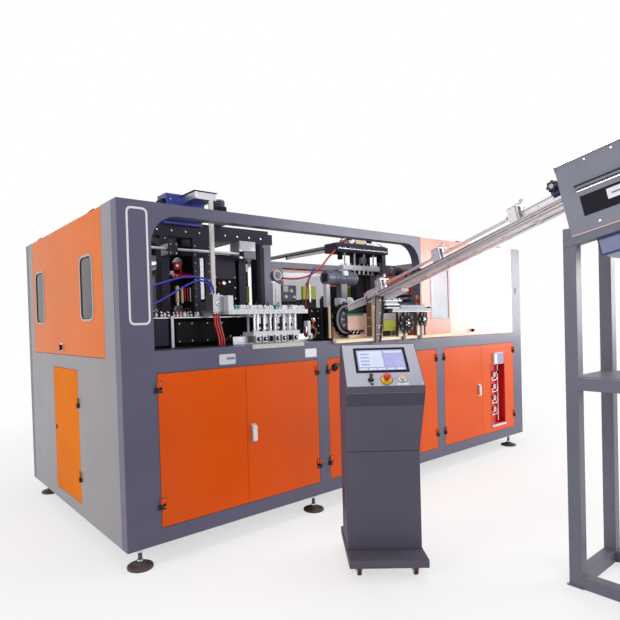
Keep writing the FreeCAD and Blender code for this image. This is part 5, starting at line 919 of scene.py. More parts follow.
def carriage_details():
    c = Cluster("carriage_trim", "transfer_carriage")
    c.boxes(("white", 836, 1560, 184, 190.5, 1450, 1483, 2),
            ("white", 836, 858, 186, 320, 1450, 1580, 2),
            ("white", 1040, 1472, 184, 190.5, 1290, 1326, 2))
    teal = (930, 1290, 1370)
    for number, x in enumerate(range(880, 1540, 50)):
        body = "teal" if any(abs(x - middle) < 26 for middle in teal) else "white"
        y = 206 + 8 * (number % 2)
        c[body].box(x - 19, x + 19, y, y + 44, 1480, 1506 + 5 * (number % 3), 3)
        c.bright.lathe((x, y + 22, 1506), "Z", ((9, 0), (9, 6), (6, 9)), 16)
        c.black.box(x - 14, x + 10, y + 48, y + 84, 1480, 1512, 3)
        c.bright.rod((x + 8, y, 1492), "Y", 4, -12, 0.8, 12)
        c.white.rod((x - 8, y, 1492), "Y", 6, -7, 0.8, 12)
    for x in range(905, 1530, 100):
        c.rubber.pipe(((x, 236, 1512), (x + 6, 244, 1532), (x + 30, 262, 1538),
                       (x + 50, 276, 1520)), 3, 8)
    c.steel.screws(range(860, 1550, 46), 184, 1466, "Y", 4, -2.5)
    # Sliding rods with collars
    for x in (1062, 1092, 1150, 1208, 1252, 1330, 1388, 1442):
        c.bright.rod((x, 206, 1323), "Z", 8, 130, 1)
        c.steel.lathe((x, 206, 1424), "Z", ((13, 0), (13, 26), (10, 28)), 20)
        c.white.lathe((x, 206, 1323), "Z", ((12, 0), (12, 14), (10, 16)), 20)
    for x in (1120, 1180, 1290, 1360, 1415):
        c.boxes(("white", x - 12, x + 12, 214, 240, 1340, 1440, 3),
                ("black", x - 7, x + 7, 210, 215, 1356, 1380))
    # Lower row: holders with round black grips
    for number, x in enumerate((1078, 1136, 1190, 1250, 1312, 1368, 1424)):
        if number % 3 == 2:
            c.black.lathe((x, 184, 1272), "Y", ((21, 10), (21, -7), (16, -9), (9, -9), (9, -3)),
                          24)
        else:
            c.white.box(x - 24, x + 24, 176, 190, 1246, 1300, 4)
            c.black.lathe((x, 176, 1272), "Y", ((15, 2), (15, -5), (10, -7)), 24)
            c.bright.lathe((x, 169, 1272), "Y", ((6, 0), (6, -4), (4, -5)), 16)
        c.steel.box(x - 26, x - 22, 170, 192, 1250, 1296)
    # Coil of lines and junction box on the right end of the carriage
    c = Cluster("junction", "transfer_carriage")
    c.boxes(("black", 1552, 1700, 250, 325, 1246, 1330, 5),
            ("white", 1580, 1612, 214, 262, 1275, 1392, 4),
            ("white", 1612, 1640, 222, 262, 1246, 1290, 4),
            ("bright", 1566, 1580, 220, 250, 1300, 1350, 2),
            ("yellow", 1660, 1684, 236, 256, 1384, 1404, 3))
    c.bright.hexagon((1672, 246, 1404), "Z", 7, 10)
    for number in range(5):
        ring = [(1622 + 1.25 * x, 240 - number * 5, 1304 + z) for x, z in
                around(0, 0, 58 - number * 6, [-70 + 300 * step / 18 for step in range(19)])]
        c["red_tube" if number % 2 else "rubber"].pipe(ring, 4, 8)
    c.red_tube.pipe(((1630, 230, 1330), (1655, 236, 1366), (1668, 240, 1388)), 4, 8)
    c.red_tube.pipe(((1600, 246, 1250), (1660, 262, 1262), (1716, 280, 1300), (1740, 292, 1330)),
                    4, 8)


def air_line_details():
    """Posts, blow valves and pipes between the clamp unit and the loading wheel."""
    c = Cluster("air_group")
    c.boxes(("white", 1474, 1538, 506, 560, 1440, 1710, 3),
            ("white", 1500, 1530, 500, 510, 1500, 1660, 2),
            ("steel", 1459, 1484, 512, 548, 1700, 1760, 2))
    c.slate.lathe((1506, 500, 1766), "Y", ((44, 40), (44, -14), (38, -20)), 32)
    c.disc.lathe((1506, 480, 1766), "Y", ((34, 0), (34, -3), (6, -3), (6, -8)), 32)
    c.plate.ring((1506, 481, 1766), "Y", 42, 33, -6)
    c.boxes(("white", 1540, 1566, 512, 556, 1440, 1700, 3),
            ("slate", 1640, 1800, 590, 640, 1560, 1700, 6),
            ("white", 1650, 1700, 578, 592, 1640, 1690, 4))
    for x, z in ((1740, 1650), (1680, 1600), (1770, 1596)):
        c.bright.lathe((x, 590, z), "Y", ((18, 0), (18, -8), (12, -11), (5, -11)), 24)
    c.boxes(("dark", 1630, 1812, 600, 680, 1440, 1560, 5),
            ("lime", 1960, 2118, 690, 720, 1586, 1706, 4),
            ("steel", 2028, 2044, 680, 690, 1560, 1730),
            ("dark", 1950, 2130, 700, 780, 1240, 1586, 5),
            ("lime", 2480, 2664, 690, 720, 1600, 1712, 4),
            ("dark", 2300, 2480, 690, 760, 1400, 1712, 5),
            ("dark", 2240, 2664, 700, 780, 1240, 1600, 5),
            ("plate", 2400, 2430, 680, 690, 1600, 1700, 2),
            ("red", 1470, 1560, 560, 580, 1800, 1826, 3),
            ("cream", 1836, 1852, 236, 252, 1238, 1508, 1.5),
            ("black", 1700, 1832, 330, 420, 1238, 1500, 5))
    c.bright.screws((1730, 1800), 330, (1290, 1350, 1410, 1470), "Y", 5, -3)
    c.blue_tube.pipe(((1800, 470, 1690), (1822, 462, 1730), (1850, 452, 1790), (1880, 444, 1840)),
                     7, 12)
    c.red_tube.pipe(((1790, 470, 1500), (1792, 464, 1580), (1806, 460, 1680), (1826, 456, 1760)),
                    6, 12)


# ---- Transfer, loading and oven ---------------------------------------------------------------

def bridge_details():
    c = Cluster("bridge_trim")
    c.dark.box(2120, 2800, 412, 420.5, 1996, 2062, 2)
    c.bright.screws(range(2160, 2780, 62), 412, 2028, "Y", 5, -4)
    c.boxes(("bright", 2133, 2773, 408, 412.5, 2016, 2022, 0.5),
            ("beige", 2384, 2500, 430, 480, 2072, 2126, 4),
            ("white", 2300, 2352, 430, 480, 2070, 2100, 3),
            ("white", 2524, 2600, 430, 470, 2070, 2092, 3),
            ("black", 2560, 2594, 428, 470, 2090, 2124, 3))
    for x in (2236, 2360, 2372, 2530):
        c.bright.rod((x, 450, 2070), "Z", 7, 60)
        c.black.lathe((x, 450, 2070), "Z", ((13, 0), (13, 14), (10, 16)), 20)
    c.red_tube.pipe(((2190, 440, 2070), (2210, 436, 2092), (2250, 434, 2096), (2290, 436, 2084),
                     (2320, 440, 2070)), 6, 10)
    c.red_tube.pipe(((2180, 450, 2064), (2205, 430, 2110), (2262, 430, 2120)), 5, 10)
    c.bright.pipe(((2600, 440, 2080), (2650, 432, 2098), (2710, 434, 2090), (2760, 440, 2072)), 5,
                  10)
    c.boxes(("black", 2180, 2210, 430, 470, 1926, 1990, 3),
            ("black", 2700, 2730, 430, 470, 1926, 1990, 3))
    c.slate.lathe((2470, 436, 1898), "Z", ((26, 0), (30, 6), (30, 54), (24, 62)), 28)
    c.slate.box(2208, 2272, 600, 1980, 2047, 2071, 1.5)
    c.dial.rod((2240, 661, 2030), "Y", 13.6, 558, 1, 28)
    for y in (640, 1220):
        c.black.box(2225, 2255, y - 1, y + 21, 2016, 2046, 2)
        c.bright.rod((2232, y + 10, 2010), "Z", 3, 8)
    c.bright.screws(2240, range(700, 1960, 180), 2071, "Z", 5, 3.5)
    c = Cluster("gripper_trim", "gripper_bar")
    c.white.box(2196, 2684, 417, 425.5, 1838, 1876, 2)
    for x in range(2215, 2680, 56):
        c.black.box(x - 15, x + 15, 420, 480, 1803, 1832, 3)
        c.rubber.lathe((x, 450, 1798), "Z", ((10, 6), (13, 0), (13, -3), (9, -6)), 20)
        c.bright.screw((x, 417, 1857), "Y", 4, -2.5)
        c.steel.rod((x, 450, 1879), "Z", 5, 18)


def loader_details():
    c = Cluster("loading_wheel_trim", "loading_wheel")
    centre = (2035, 236, 1396)
    c.salmon_grey.lathe(centre, "Y", ((122, 0), (122, -6), (112, -9), (106, -9), (104, -4)), 48)
    c.black.lathe(centre, "Y", ((104, -3), (100, -6), (90, -6), (88, -3)), 48)
    c.disc.lathe(centre, "Y", ((88, 0), (88, -12), (80, -16), (60, -16), (58, -12), (44, -12),
                               (42, -18), (24, -20)), 48)
    for x, z in around(2035, 1396, 70, range(0, 360, 45)):
        c.white.screw((x, 221, z), "Y", 9, -5)
    for x, z in around(2035, 1396, 47, range(0, 360, 60)):
        c.white.screw((x, 224, z), "Y", 6, -5)
    c.bright.hexagon((2035, 217, 1396), "Y", 13, -9)
    c = Cluster("loader_trim")
    c.boxes(("green", 1992, 2190, 186, 300, 1443, 1480, 3),
            ("greenish", 1996, 2190, 190, 196.5, 1424, 1442, 2),
            ("salmon", 2000, 2190, 188, 196.5, 1306, 1424, 4))
    for x in (2056, 2100, 2150, 2180):
        c.bright.lathe((x, 190, 1284), "Y", ((8, 0), (8, -10), (5, -12)), 16)
        c.dark.box(x - 10, x + 10, 184, 196, 1288, 1304, 2)
    for x in (2034, 2078, 2125):
        c.black.box(x - 12, x + 12, 182, 196, 1268, 1292, 3)
    c.salmon.box(2000, 2190, 176, 196.5, 1242, 1266, 2)
    c.bright.screws((1998, 2190), 188, (1322, 1408), "Y", 4.5, -3)
    # White gearbox over the wheel, and the grey drum above it
    c.white.box(2034, 2100, 300, 380, 1511, 1580, 8)
    c.white.lathe((2150, 340, 1520), "Z", ((54, 0), (58, 8), (58, 40), (48, 60), (30, 66)), 36)
    c.white.box(2100, 2212, 296, 380, 1500, 1524, 4)
    c.bright.lathe((2067, 300, 1545), "Y", ((20, 0), (20, -8), (14, -11), (6, -11)), 24)
    c.dark.box(1886, 1960, 290, 372, 1700, 1790, 10)
    for x in range(1966, 2226, 20):
        c.slate.lathe((x, 332, 1744), "X", ((55.5, 0), (59, 2), (59, 5), (55.5, 7)), 32)
    # The pale yellow-green faces of the lime panel are painted light over the lime paint
    c.boxes(("slate", 2020, 2130, 300, 364, 1796, 1822, 5),
            ("white", 2044, 2100, 262, 284, 1762, 1802, 4),
            ("plate", 1872, 1916, 300, 340, 1500, 1690, 3),
            ("black", 1860, 1930, 302, 340, 1242, 1500, 3),
            ("yellow_green", 2450, 2604, 194, 201, 1286, 1384, 2),
            ("white", 2440, 2630, 190, 214, 1384, 1440, 3),
            ("yellow_green", 2450, 2622, 188, 194, 1320, 1384, 2))
    c.slate.lathe((2580, 196, 1264), "Y", ((22, 0), (22, -8), (14, -10), (14, -3)), 24)
    c.boxes(("dark", 2450, 2540, 190, 250, 1241, 1286, 4),
            ("orange", 2886, 2900, 200, 360, 1547, 1711, 3),
            ("brass", 2880, 2888, 196, 214, 1540, 1716),
            ("slate", 2780, 2904, 412, 420.5, 1810, 1892, 5))
    c.bright.lathe((2842, 412, 1850), "Y", ((26, 0), (26, -6), (18, -9), (8, -9)), 28)
    for x in range(2926, 3030, 14):
        c.dark.lathe((x, 460, 1850), "X", ((37.5, 0), (40, 1.5), (40, 4), (37.5, 5.5)), 28)


def star_details():
    for name, body, x, z, radius, teeth in (("star_one", "star_wheel_one", 2425, 1352, 80, 10),
                                            ("star_two", "star_wheel_two", 2650, 1380, 50, 6)):
        c = Cluster(name + "_trim", body)
        c.wheel_black.lathe((x, -78, z), "Y",
                            ((radius - 14, 0), (radius - 14, -3), (radius * 0.5, -3),
                             (radius * 0.46, -7), (12, -8)), 36)
        turns = [360 * (index + 0.5) / teeth for index in range(teeth)]
        for px, pz in around(x, z, radius - 8, turns):
            c.wheel_black.lathe((px, -79, pz), "Y", ((9, 20), (11, 16), (11, 3), (8, -1)), 16)
        for px, pz in around(x, z, radius * 0.34, range(0, 360, 72)):
            c.bright.screw((px, -85, pz), "Y", 4, -3)
        c.bright.hexagon((x, -86, z), "Y", 9, -7)
    c = Cluster("conveyor_trim")
    c.boxes(("white", 2235, 2765, -80, -76, 1443, 1450),
            ("band", 2240, 2760, -79, -76, 1450, 1473),
            ("white", 2180, 2345, -70, -34, 1473, 1484, 2),
            ("dark", 2190, 2360, -66, -36, 1484, 1498, 2),
            ("white", 2170, 2340, -70, -34, 1498, 1514, 2),
            ("band", 2350, 2700, -74, -38, 1473, 1489, 3),
            ("white", 2340, 2706, -76, -36, 1489, 1496, 1.5),
            ("white", 2166, 2380, -68, -36, 1530, 1544, 3),
            ("band", 2180, 2330, -60, -40, 1514, 1530, 2))
    for x in range(2372, 2690, 34):
        c.slate.lathe((x, -58, 1496), "Z", ((11, 0), (11, 6), (7, 9)), 16)
    c.boxes(("black", 2250, 2272, -66, -44, 1544, 1562, 4),
            ("black", 2180, 2196, -62, -46, 1544, 1556, 3))
    for x in (2290, 2316, 2360):
        c.bright.rod((x, -52, 1544), "Z", 5, 14)
    c.steel.pipe(((2700, -54, 1482), (2748, -56, 1494), (2790, -56, 1482), (2806, -54, 1456)), 6,
                 10)
    c.black.box(2720, 2770, -68, -44, 1473, 1486, 3)
    c.bright.screws((2250, 2400, 2560, 2740), -80, 1458, "Y", 4, -2.5)
    # Cream panel behind the wheels, with its dark edge post and round mark
    c.boxes(("cream", 2352, 2470, -44, -32.5, 1242, 1442, 2),
            ("dark", 2334, 2352, -46, -32.5, 1242, 1442),
            ("cream", 2600, 2634, -46, -33, 1242, 1442, 2),
            ("leg", 2584, 2600, -50, -33, 1242, 1442),
            ("cream", 2667, 2690, -46, -33, 1242, 1442, 2),
            ("wheel_black", 2676, 2722, -66, -46, 1388, 1440, 5),
            ("wheel_black", 2690, 2718, -62, -46, 1322, 1392, 5),
            ("dark", 2694, 2706, -56, -46, 1242, 1322, 2))
    c.black.lathe((2410, -44, 1420), "Y", ((7, 0), (7, -2), (3, -3)), 14)
    c.bright.ring((2428, -46, 1290), "Y", 17, 12, -4)
    c.bright.screws((2366, 2676), -44, (1262, 1430), "Y", 4, -2.5)
    c.gold.box(2330, 2800, -37, -33, 1241.5, 1247)
    # Machinery that shows in front of the inner cover, and the jamb's rusty edge
    c.slate.box(2736, 2742, 84, 322, 1420, 1606, 2)
    for z in (1440, 1486, 1540, 1584):
        c.dark.box(2728, 2737, 110, 300, z, z + 20, 3)
        c.salmon_grey.rod((2724, 140, z + 30), "Y", 8, 120, 1)
    c.rust.box(2714.5, 2717.2, 4, 58, 1330, 1600, 0.8)
    for z in (1350, 1420, 1490, 1560):
        c.boxes(("strip", 2713, 2715, 24, 44, z, z + 30, 0.8),
                ("leg", 2713, 2715, 8, 20, z + 26, z + 52, 0.8))


def post_details():
    c = Cluster("post_trim")
    # The brown strip on the post's left side is painted shade; its cream front is the post's own
    # colour
    c.boxes(("cream", 2196, 2250, 100.5, 105.5, 1243, 1566),
            ("brownish", 2191.5, 2195.5, 104, 160, 1243, 1566),
            ("gold", 2190.5, 2199, 99.5, 104, 1243, 1566, 0.8))
    for z in (1330, 1400):
        c.strip.box(2189, 2252, 99, 162, z, z + 6)
    c.bright.screws(2224, 100.5, (1290, 1350, 1450, 1530), "Y", 5, -3.5)
    c.cast.lathe((2194, 132, 1570), "X", ((26, 4), (26, -6), (20, -12), (8, -12)), 28)
    c.strip.box(2180, 2266, 92, 176, 1241, 1250, 2)
    c.bright.screws((2186, 2260), (98, 170), 1250, "Z", 5, 4)
    c.leg.prism([(1206, 2063), (1206, 2106), (1566, 2150), (1566, 2084)], "Y", -46.5, -43.5)
    c.black.prism([(1206, 2106), (1206, 2128), (1568, 2192), (1568, 2150)], "Y", -47, -43.5)
    c.boxes(("strip", 2076, 2142, -48, -46, 1338, 1342, 0.5),
            ("strip", 2068, 2132, -48, -46, 1268, 1272, 0.5))
    for z, x in ((1240, 2090), (1322, 2104), (1440, 2118), (1540, 2126)):
        c.bright.screw((x, -46.5, z), "Y", 4.5, -3)


def oven_details():
    c = Cluster("oven_trim")
    for x in range(2850, 4180, 110):
        c.bright.box(x - 3, x + 3, 815, 820.5, 1260, 1640)
    c.boxes(("bright", 2790, 4190, 812, 820.5, 1640, 1658, 2),
            ("bright", 2790, 4190, 812, 820.5, 1238, 1256, 2))
    for x in range(2840, 4180, 60):
        for y in (1040, 1120):
            c.white.lathe((x, y, 1658), "Z", ((9, 0), (12, 4), (12, 14), (8, 18)), 16)


# ---- Chute, feeder and hopper -----------------------------------------------------------------

def chute_details():
    c = Cluster("chute_trim", space=CHUTE)
    for side in (-1, 1):
        edge = side * 47.5
        out = edge + side * 1.4
        c.boxes(("bright", edge, out, 0, 1810, 19.5, 26.5, 0.4),
                ("slate", edge, edge + side * 0.8, -10, 1810, 15.5, 18.5, 0.2),
                ("pale_rail", edge, out, -10, 1810, 3.5, 13.5, 0.5),
                ("rail_dark", edge, edge + side * 0.8, -10, 1810, -15, -12, 0.2),
                ("pale_rail", edge, out, -10, 1810, -25, -15.5, 0.4))
        for y in range(40, 1800, 92):
            c.steel.screw((out, y, 8.5), "X", 3, side * 1.8)
            c.steel.screw((out, y + 40, -20), "X", 3, side * 1.8)
    # Joints of the floor strips, seen from below
    for index in range(7):
        y = 203 + 225 * index
        c.pale_rail.box(-40, 40, y, y + 31, -33, -30.5, 0.5)
        c.steel.screws((-30, 30), y + 15, -33, "Z", 4, -2)
    # Flat hold-down cover on the upper run
    c.boxes(("rail", -16, 16, 76, 298, 70.5, 74), ("bright", -15, -11, 76, 298, 74, 78),
            ("rail", -13, -9.5, 70, 300, 40, 68))
    for y in (96, 190, 280):
        c.steel.screw((0, y, 74), "Z", 5, 3.5)
        c.bright.screw((-13, y, 54), "X", 5, -3)
    # Brackets: facing plates, spacers, clamp levers with round ends
    for y in (300, 940, 1580):
        c.boxes(("pale_rail", -50, -47, y - 2, y + 14, 22, 119),
                ("rail", -51, 51, y + 4, y + 66, 113, 120, 2),
                ("rail", -40, -20, y + 14, y + 60, 62, 104, 3),
                ("steel", -30, 10, y + 20, y + 54, 44, 60, 2))
        c.steel.screws(-50, y + 6, (36, 64, 92, 108), "X", 3.6, -2.4)
        for z in (40, 84):
            c.bright.screw((-47, y + 52, z), "X", 5, -3.5)
            c.steel.screw((47.5, y + 35, z), "X", 5, 3.5)
        c.steel.hexagon((0, y + 35, 117), "Z", 13, 8)
        c.pale_rail.lathe((0, y - 8, 138), "Z", ((9, 0), (12, 3), (12, 12), (8, 15)), 18)
        c.bright.rod((26, y + 35, 117), "Z", 6, 18)
        c.steel.box(-34, -14, y + 58, y + 96, 66, 82, 3)
    # Upper end: knob bracket plate, small black knob below
    c.plate.box(-50.5, -47.5, -34, 6, -22, 22)
    c.black.screws(-50.5, (-24, -6), (12, -12), "X", 3.4, -2)
    c.black.lathe((-20, -36, -40), "Z", ((9, 0), (12, 4), (12, 12), (8, 16)), 16)
    c.boxes(("navy", -50, -22, 20, 84, 54, 119, 4), ("dark", -54, -44, 34, 72, 40, 56, 2))
    # Lower end: guide plates and the drag chain under the rail
    c.boxes(("pale_rail", -58, -50, 1640, 1800, 2, 62, 3),
            ("pale_rail", 50, 58, 1640, 1800, 2, 62, 3), ("plate", -56, 56, 1700, 1760, 62, 68, 2))
    c.black.screws(-58, (1660, 1780), (14, 50), "X", 5, -3)
    for step in range(24):
        y = 1380 + step * 15
        c.boxes(("pale_rail", -36, 36, y, y + 7, -58, -31, 2),
                ("rail", -33, 33, y + 7, y + 15, -54, -31),
                ("plate", -39, -35, y + 1, y + 13, -52, -34))
    for index, y in enumerate((1150, 1200, 1236, 1290)):
        c.black.box(-46, -22, y, y + 24, 27, 40 + 3 * (index % 2), 3)
    c = Cluster("infeed_trim", space=INFEED)
    for side in (-1, 1):
        out = side * 21
        c.boxes(("pale_rail", out, out + side * 2, -40, 250, 20, 30.5, 0.6),
                ("pale_rail", out, out + side * 1.5, -40, 250, -10.5, 0, 0.6))
        for y in (20, 90, 160, 230):
            c.steel.screw((out + side * 2, y, 25), "X", 4, side * 2.5)
            c.steel.screw((out + side * 1.5, y, -5), "X", 3.4, side * 2.2)
    c.bright.pipe(((-6, 0, 44), (-6, 160, 42), (-4, 242, 30)), 4, 10)
    c.bright.pipe(((6, 0, 44), (6, 160, 42), (4, 242, 30)), 4, 10)
    for y in (30, 150):
        c.plate.box(-24, 24, y, y + 16, 36, 41)
        for side in (-1, 1):
            c.steel.box(side * 21, side * 25, y, y + 16, 28, 41)


def knob_details():
    c = Cluster("star_grip", "star_knob", CHUTE, replaces=("star_knob",))
    middle = (-79.5, 53, 101.5)
    c.plastic.lathe(middle, "X", ((17, 3), (22, 0.5), (26, 3), (27, 10), (26, 17), (22, 19.5),
                                  (17, 17)), 40)
    for y, z in around(53, 101.5, 25.5, [360 * index / 7 for index in range(7)]):
        c.plastic.lathe((middle[0], y, z), "X", ((6, 2), (8.5, 5), (8.5, 15), (6, 18)), 14)
    c.plate.lathe(middle, "X", ((12, 0), (12, 14), (8, 18)), 20)
    for y, z in around(53, 101.5, 16, range(0, 360, 60)):
        c.steel.screw((middle[0] + 1, y, z), "X", 2.6, -1.5)
    c.steel.rod((middle[0] + 8, 53, 101.5), "X", 5, 40)


def feeder_details():
    c = Cluster("hopper_trim", space=HOPPER)
    c.boxes(("window", 1.5, 6, -542, -78, 77, 183, 0.5),
            ("window", 512, 516.5, -542, -78, 77, 183, 0.5))
    for x, side in ((0, -1), (518, 1)):
        low, high = sorted((x, x + side * 3))
        c.boxes(("bright", low - 1, high + 1, -760, -74, 206, 211, 0.8),
                ("slate", low - 8, high + 8, -760, -74, 211.5, 215.8),
                ("dark", low - 22, high + 22, -760, -74, 227.2, 236, 1.5),
                ("bright", low - 4, high + 4, -760, -4, 368, 375),
                ("salmon", low, high, -760, -4, 0, 3.5, 0.5))
        c.bright.screws(x, range(-730, -40, 118), (350, 34), "X", 5, side * 3.5)
    c.boxes(("slate", -4, 522, -6, 2, 344, 375, 2), ("navy", 40, 330, -420, -90, -128, -8, 10))
    c.navy.lathe((150, -420, -72), "Y", ((56, 0), (60, -8), (60, -110), (50, -118)), 32)
    c.dark.box(20, 498, -120, -96, -30, -4, 2)
    c.bright.rod((-16, -470, 250), "X", 16, 16)
    c.boxes(("white", -3, 0, -330, -196, 118, 168),
            ("slate", -3.8, -2.8, -318, -216, 138, 146, 0.3))
    c = Cluster("stand_trim")
    for x in (1710, 2160):
        for y in (-1651, -2351):
            c.stand.box(x - 40, x + 40, y - 40, y + 40, 0, 8, 2)
            for dx in (-34, 34):
                c.bright.hexagon((x + dx, y + 34, 8), "Z", 5, 5)
    for z in (1000, 1060):
        for x in (1740, 2130):
            c.slate.box(x - 3, x + 3, -1682, -1620, z - 3, z + 3)
    c.stand.box(1742, 2128, -2318, -1684, 1058, 1062)


# ---- Console ----------------------------------------------------------------------------------

def console_details():
    c = Cluster("console", space=CONSOLE, replaces=("console_housing",))
    c.console.prism(CASE, "X", -204, 204)
    c.console.box(-210, 210, 14, 490, 68, 112, 2.5)
    # Painted shade on the downward-facing front of the head, and dark strips painted as shade
    # along its creases and the fold line at the foot
    c.console_dark.prism([(148.6, 661), (-11.6, 1003), (-10, 1004), (150.4, 662)], "X", -203.6,
                         203.6)
    c.boxes(("dark", -204.4, 204.4, 148.5, 150.2, 655.5, 658.5, 0.2),
            ("slate", -204.5, 204.5, -12, -9, 1000, 1003, 0.3),
            ("dark", -204.5, 204.5, 149.3, 151, 112, 114, 0.2),
            ("slate", -204.6, -202, -9, 0, 1003, 1036, 0.5))
    # Rear door, its lock and hinges, and side louvres, whose slots are dark strips painted as
    # shade
    c.console.box(-176, 176, 398, 403, 150, 960, 2)
    c.black.lathe((150, 403, 560), "Y", ((15, 0), (15, 4), (11, 7), (6, 7)), 24)
    for z in (230, 880):
        c.black.box(-188, -172, 400, 410, z - 30, z + 30, 3)
    for side in (-1, 1):
        for step in range(8):
            z = 300 + step * 16
            c.dark.box(side * 204, side * 204.8, 240, 360, z, z + 6, 0.2)
    # Castors: tyre, hub, fork, plate and bolts; the front pair has brake levers
    for x in (-152, 152):
        for y in (90, 432):
            c.rubber.lathe((x - 11, y, 28), "X", ((19, 0), (26, 0.5), (28, 4), (28, 18),
                                                  (26, 21.5), (19, 22)), 36)
            c.plate.lathe((x - 12, y, 28), "X", ((18, 1), (16, 0), (7, 0), (6, -2)), 28)
            c.plate.lathe((x + 12, y, 28), "X", ((18, -1), (16, 0), (7, 0), (6, 2)), 28)
            for side in (-1, 1):
                start = x + side * 12.5
                c.bright.prism([(y - 6, 22), (y + 6, 22), (y + 17, 60), (y - 17, 60)], "X", start,
                               start + side * 2.5)
                c.steel.hexagon((start + side * 2.5, y, 28), "X", 5.5, side * 4)
            c.bright.lathe((x, y, 57), "Z", ((14, 0), (17, 2), (17, 5.5)), 28)
            c.bright.box(x - 24, x + 24, y - 24, y + 24, 62.5, 68)
            for dx in (-18, 18):
                for dy in (-18, 18):
                    c.steel.hexagon((x + dx, y + dy, 62.5), "Z", 4.5, -4)
            if y < 100:
                c.red_plastic.box(x - 10, x + 10, y - 42, y - 24, 42, 50, 3)
    f = Cluster("console_face", space=FACE)
    # The face plate's light grey is painted glare over the console paint
    f.boxes(("face", -201, 201, 3, 310, -1, 0.8, 0.4), ("white", 62, 122, 8, 19, 0.8, 1.6, 0.2))
    f.yellow.lathe((10, 46, 0), "Z", ((30, 0), (30, 3), (27, 5), (20, 5)), 36)
    f.black.lathe((10, 46, 0), "Z", ((33, 0), (33, 1.2), (30, 1.4)), 36)
    f.bright.lathe((92, 46, 0), "Z", ((17, 0), (17, 3), (15, 5), (12, 5)), 28)
    f.black.lathe((-72, 46, 0), "Z", ((16, 0), (16, 3), (14, 5), (10, 5)), 28)
    f.bright.screws((-192, 192), (10, 302), 0.8, "Z", 3.6, 1.8)
    d = Cluster("display", space=FACE, replaces=("console_display",))
    d.black.frame(rounded((-142, 142), (98, 282), 5), rounded((-128, 128), (112, 268), 3), "Z", 0,
                  4)
    d.display.box(-128, 128, 112, 268, 0.8, 2.2, 0.3)
    for column in range(5):
        left = -120 + column * 49
        d.pale.box(left, left + 41, 117, 130, 2.2, 2.5, 0.1)
    d.boxes(("pale", -120, 12, 138, 258, 2.2, 2.5, 0.1),
            ("lilac", 22, 120, 138, 236, 2.2, 2.5, 0.1),
            ("pale", 22, 120, 242, 258, 2.2, 2.5, 0.1))
    for row in range(4):
        d.boxes(("lilac", -108, -60, 150 + row * 26, 162 + row * 26, 2.5, 2.8, 0.1),
                ("display", 34, 74 + 8 * (row % 2), 150 + row * 20, 156 + row * 20, 2.5, 2.8, 0.1))
    s = Cluster("stop_button", "emergency_stop", FACE, replaces=("emergency_stop",))
    s.red_plastic.lathe((10, 46, 0), "Z", ((9, 11.3), (13, 13), (13, 24), (19.5, 27), (20, 31),
                                           (18, 35.5), (12, 37.2), (4, 37.3)), 40)
    s.black.rod((10, 46, -10), "Z", 8, 22)
    s = Cluster("key_switch", "selector_switch", FACE, replaces=("selector_switch",))
    s.plastic.lathe((-72, 46, 0), "Z", ((12, 5.3), (12, 15), (10, 18)), 28)
    s.plastic.box(-75, -69, 34, 58, 15, 21.3, 1.5)
    s.bright.rod((-72, 46, -10), "Z", 8, 15)
    b = Cluster("start_button", "push_button", FACE, replaces=("push_button",))
    b.amber.lathe((92, 46, 0), "Z", ((13, 11.3), (13, 18), (11, 20.3), (5, 20.3)), 28)
    b.bright.rod((92, 46, -10), "Z", 8, 21)
    k = Cluster("keys", space=FACE)
    k.keys.lathe((-66, 80, 1), "Z", ((10, 0), (11, 2), (10, 5)), 20)
    k.boxes(("keys", -76, -60, 70, 84, 1, 6, 2), ("keys", -76, -62, 10, 28, 1, 5, 2))
    k.bright.ring((-71, 31, 4), "Z", 8, 6, 1.6)


add_camera()
hoses()
dress_nodes()
for build in (cabinet_trim, door_trim, door_pulls, main_switch, guard_trim, gauge_details, feet,
              clamp_details, mould_details, carriage_details, air_line_details, bridge_details,
              loader_details, star_details, post_details, oven_details, chute_details,
              knob_details, feeder_details, console_details):
    build()
for cluster in Cluster.every:
    cluster.done()


# ---- Stage ------------------------------------------------------------------------------------

def add_light(name, at, target, size, power):
    data = bpy.data.lights.new(name, "AREA")
    data.shape = "RECTANGLE"
    data.size, data.size_y = size
    data.energy = power
    light = bpy.data.objects.new(name, data)
    light.location = at
    light.rotation_euler = (Vector(target) - Vector(at)).to_track_quat("-Z", "Y").to_euler()
    bpy.context.scene.collection.objects.link(light)


def seen_rays(tree):
    """1 for what the camera sees straight, in a reflection or through glass."""
    path = tree.nodes.new("ShaderNodeLightPath")
    total = path.outputs["Is Camera Ray"]
    for name in ("Is Glossy Ray", "Is Transmission Ray"):
        add = tree.nodes.new("ShaderNodeMath")
        add.operation = "MAXIMUM"
        tree.links.new(total, add.inputs[0])
        tree.links.new(path.outputs[name], add.inputs[1])
        total = add.outputs["Value"]
    return total


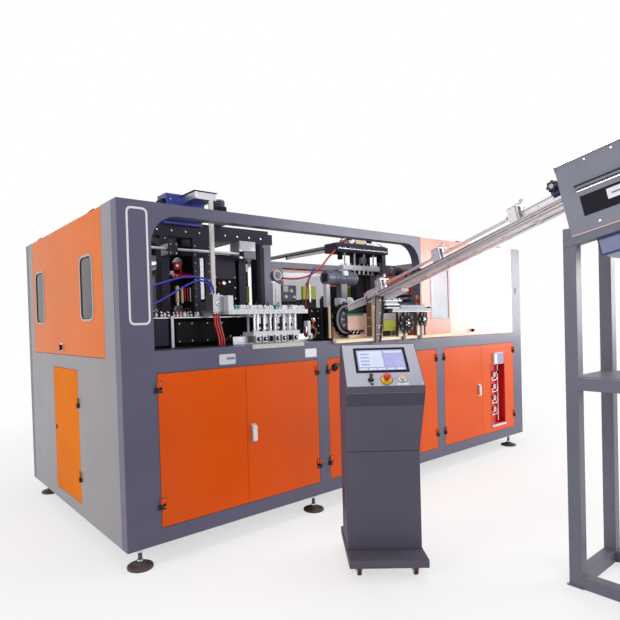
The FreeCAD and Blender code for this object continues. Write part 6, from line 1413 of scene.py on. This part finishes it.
def add_floor():
    """A pale floor that keeps the shadow near the machine and turns white away from it."""
    data = bpy.data.meshes.new("floor")
    reach = 60
    corners = [(x * reach, y * reach, 0) for x, y in ((-1, -1), (1, -1), (1, 1), (-1, 1))]
    data.from_pydata(corners, [], [(0, 1, 2, 3)])
    floor = bpy.data.objects.new("floor", data)
    bpy.context.scene.collection.objects.link(floor)
    shader = Shader("pale_floor")
    shader.feed("Base Color", shader.ramp(shader.noise(0.6, 3.0), colour(247, 247, 248),
                                          colour(252, 252, 252)))
    shader.feed("Roughness", shader.spread(shader.noise(3, 3.0), 0.55, 0.7))
    tree = shader.tree
    centre, near, far, kept = (2.1, 0.3, 0), 2.6, 6.5, 0.62
    middle = shader.node("ShaderNodeVectorMath", operation="DISTANCE")
    middle.inputs[1].default_value = centre
    shader.link(shader.place, middle.inputs[0])
    away = shader.node("ShaderNodeMapRange")
    away.interpolation_type = "SMOOTHSTEP"
    away.inputs["From Min"].default_value = near
    away.inputs["From Max"].default_value = far
    away.inputs["To Min"].default_value = kept
    away.inputs["To Max"].default_value = 1.0
    shader.link(middle.outputs["Value"], away.inputs["Value"])
    both = shader.node("ShaderNodeMath", operation="MULTIPLY")
    shader.link(seen_rays(tree), both.inputs[0])
    shader.link(away.outputs["Result"], both.inputs[1])
    white = shader.node("ShaderNodeEmission")
    white.inputs["Color"].default_value = (1, 1, 1, 1)
    white.inputs["Strength"].default_value = 1.0
    mix = shader.node("ShaderNodeMixShader")
    shader.link(both.outputs["Value"], mix.inputs[0])
    shader.link(shader.bsdf.outputs["BSDF"], mix.inputs[1])
    shader.link(white.outputs["Emission"], mix.inputs[2])
    shader.link(mix.outputs["Shader"], tree.nodes["Material Output"].inputs["Surface"])
    data.materials.append(shader.material)


def add_world():
    world = bpy.data.worlds.new("studio")
    world.use_nodes = True
    bpy.context.scene.world = world
    tree = world.node_tree
    out = tree.nodes["World Output"]
    light = tree.nodes["Background"]
    light.inputs["Color"].default_value = (0.95, 0.97, 1.0, 1)
    light.inputs["Strength"].default_value = 0.42
    seen = tree.nodes.new("ShaderNodeBackground")
    seen.inputs["Color"].default_value = (1, 1, 1, 1)
    seen.inputs["Strength"].default_value = 1.0
    mix = tree.nodes.new("ShaderNodeMixShader")
    tree.links.new(seen_rays(tree), mix.inputs["Fac"])
    tree.links.new(light.outputs["Background"], mix.inputs[1])
    tree.links.new(seen.outputs["Background"], mix.inputs[2])
    tree.links.new(mix.outputs["Shader"], out.inputs["Surface"])


add_floor()
add_world()
add_light("key", (-3.2, -6.4, 5.2), (1.5, 0.3, 1.0), (4, 3), 125)
add_light("left", (-6.5, 0.6, 3.4), (0.0, 0.9, 1.2), (3, 2.4), 190)
add_light("fill", (7.8, -5.5, 3.0), (3.2, 0.0, 1.3), (3.5, 3.0), 250)
add_light("top", (2.2, 0.0, 7.0), (2.2, 0.8, 0), (6, 4), 160)
add_light("window", (8.9, -3.0, 1.9), (3.6, 0.0, 1.6), (3.0, 1.8), 130)
bpy.context.scene.view_settings.view_transform = "Standard"
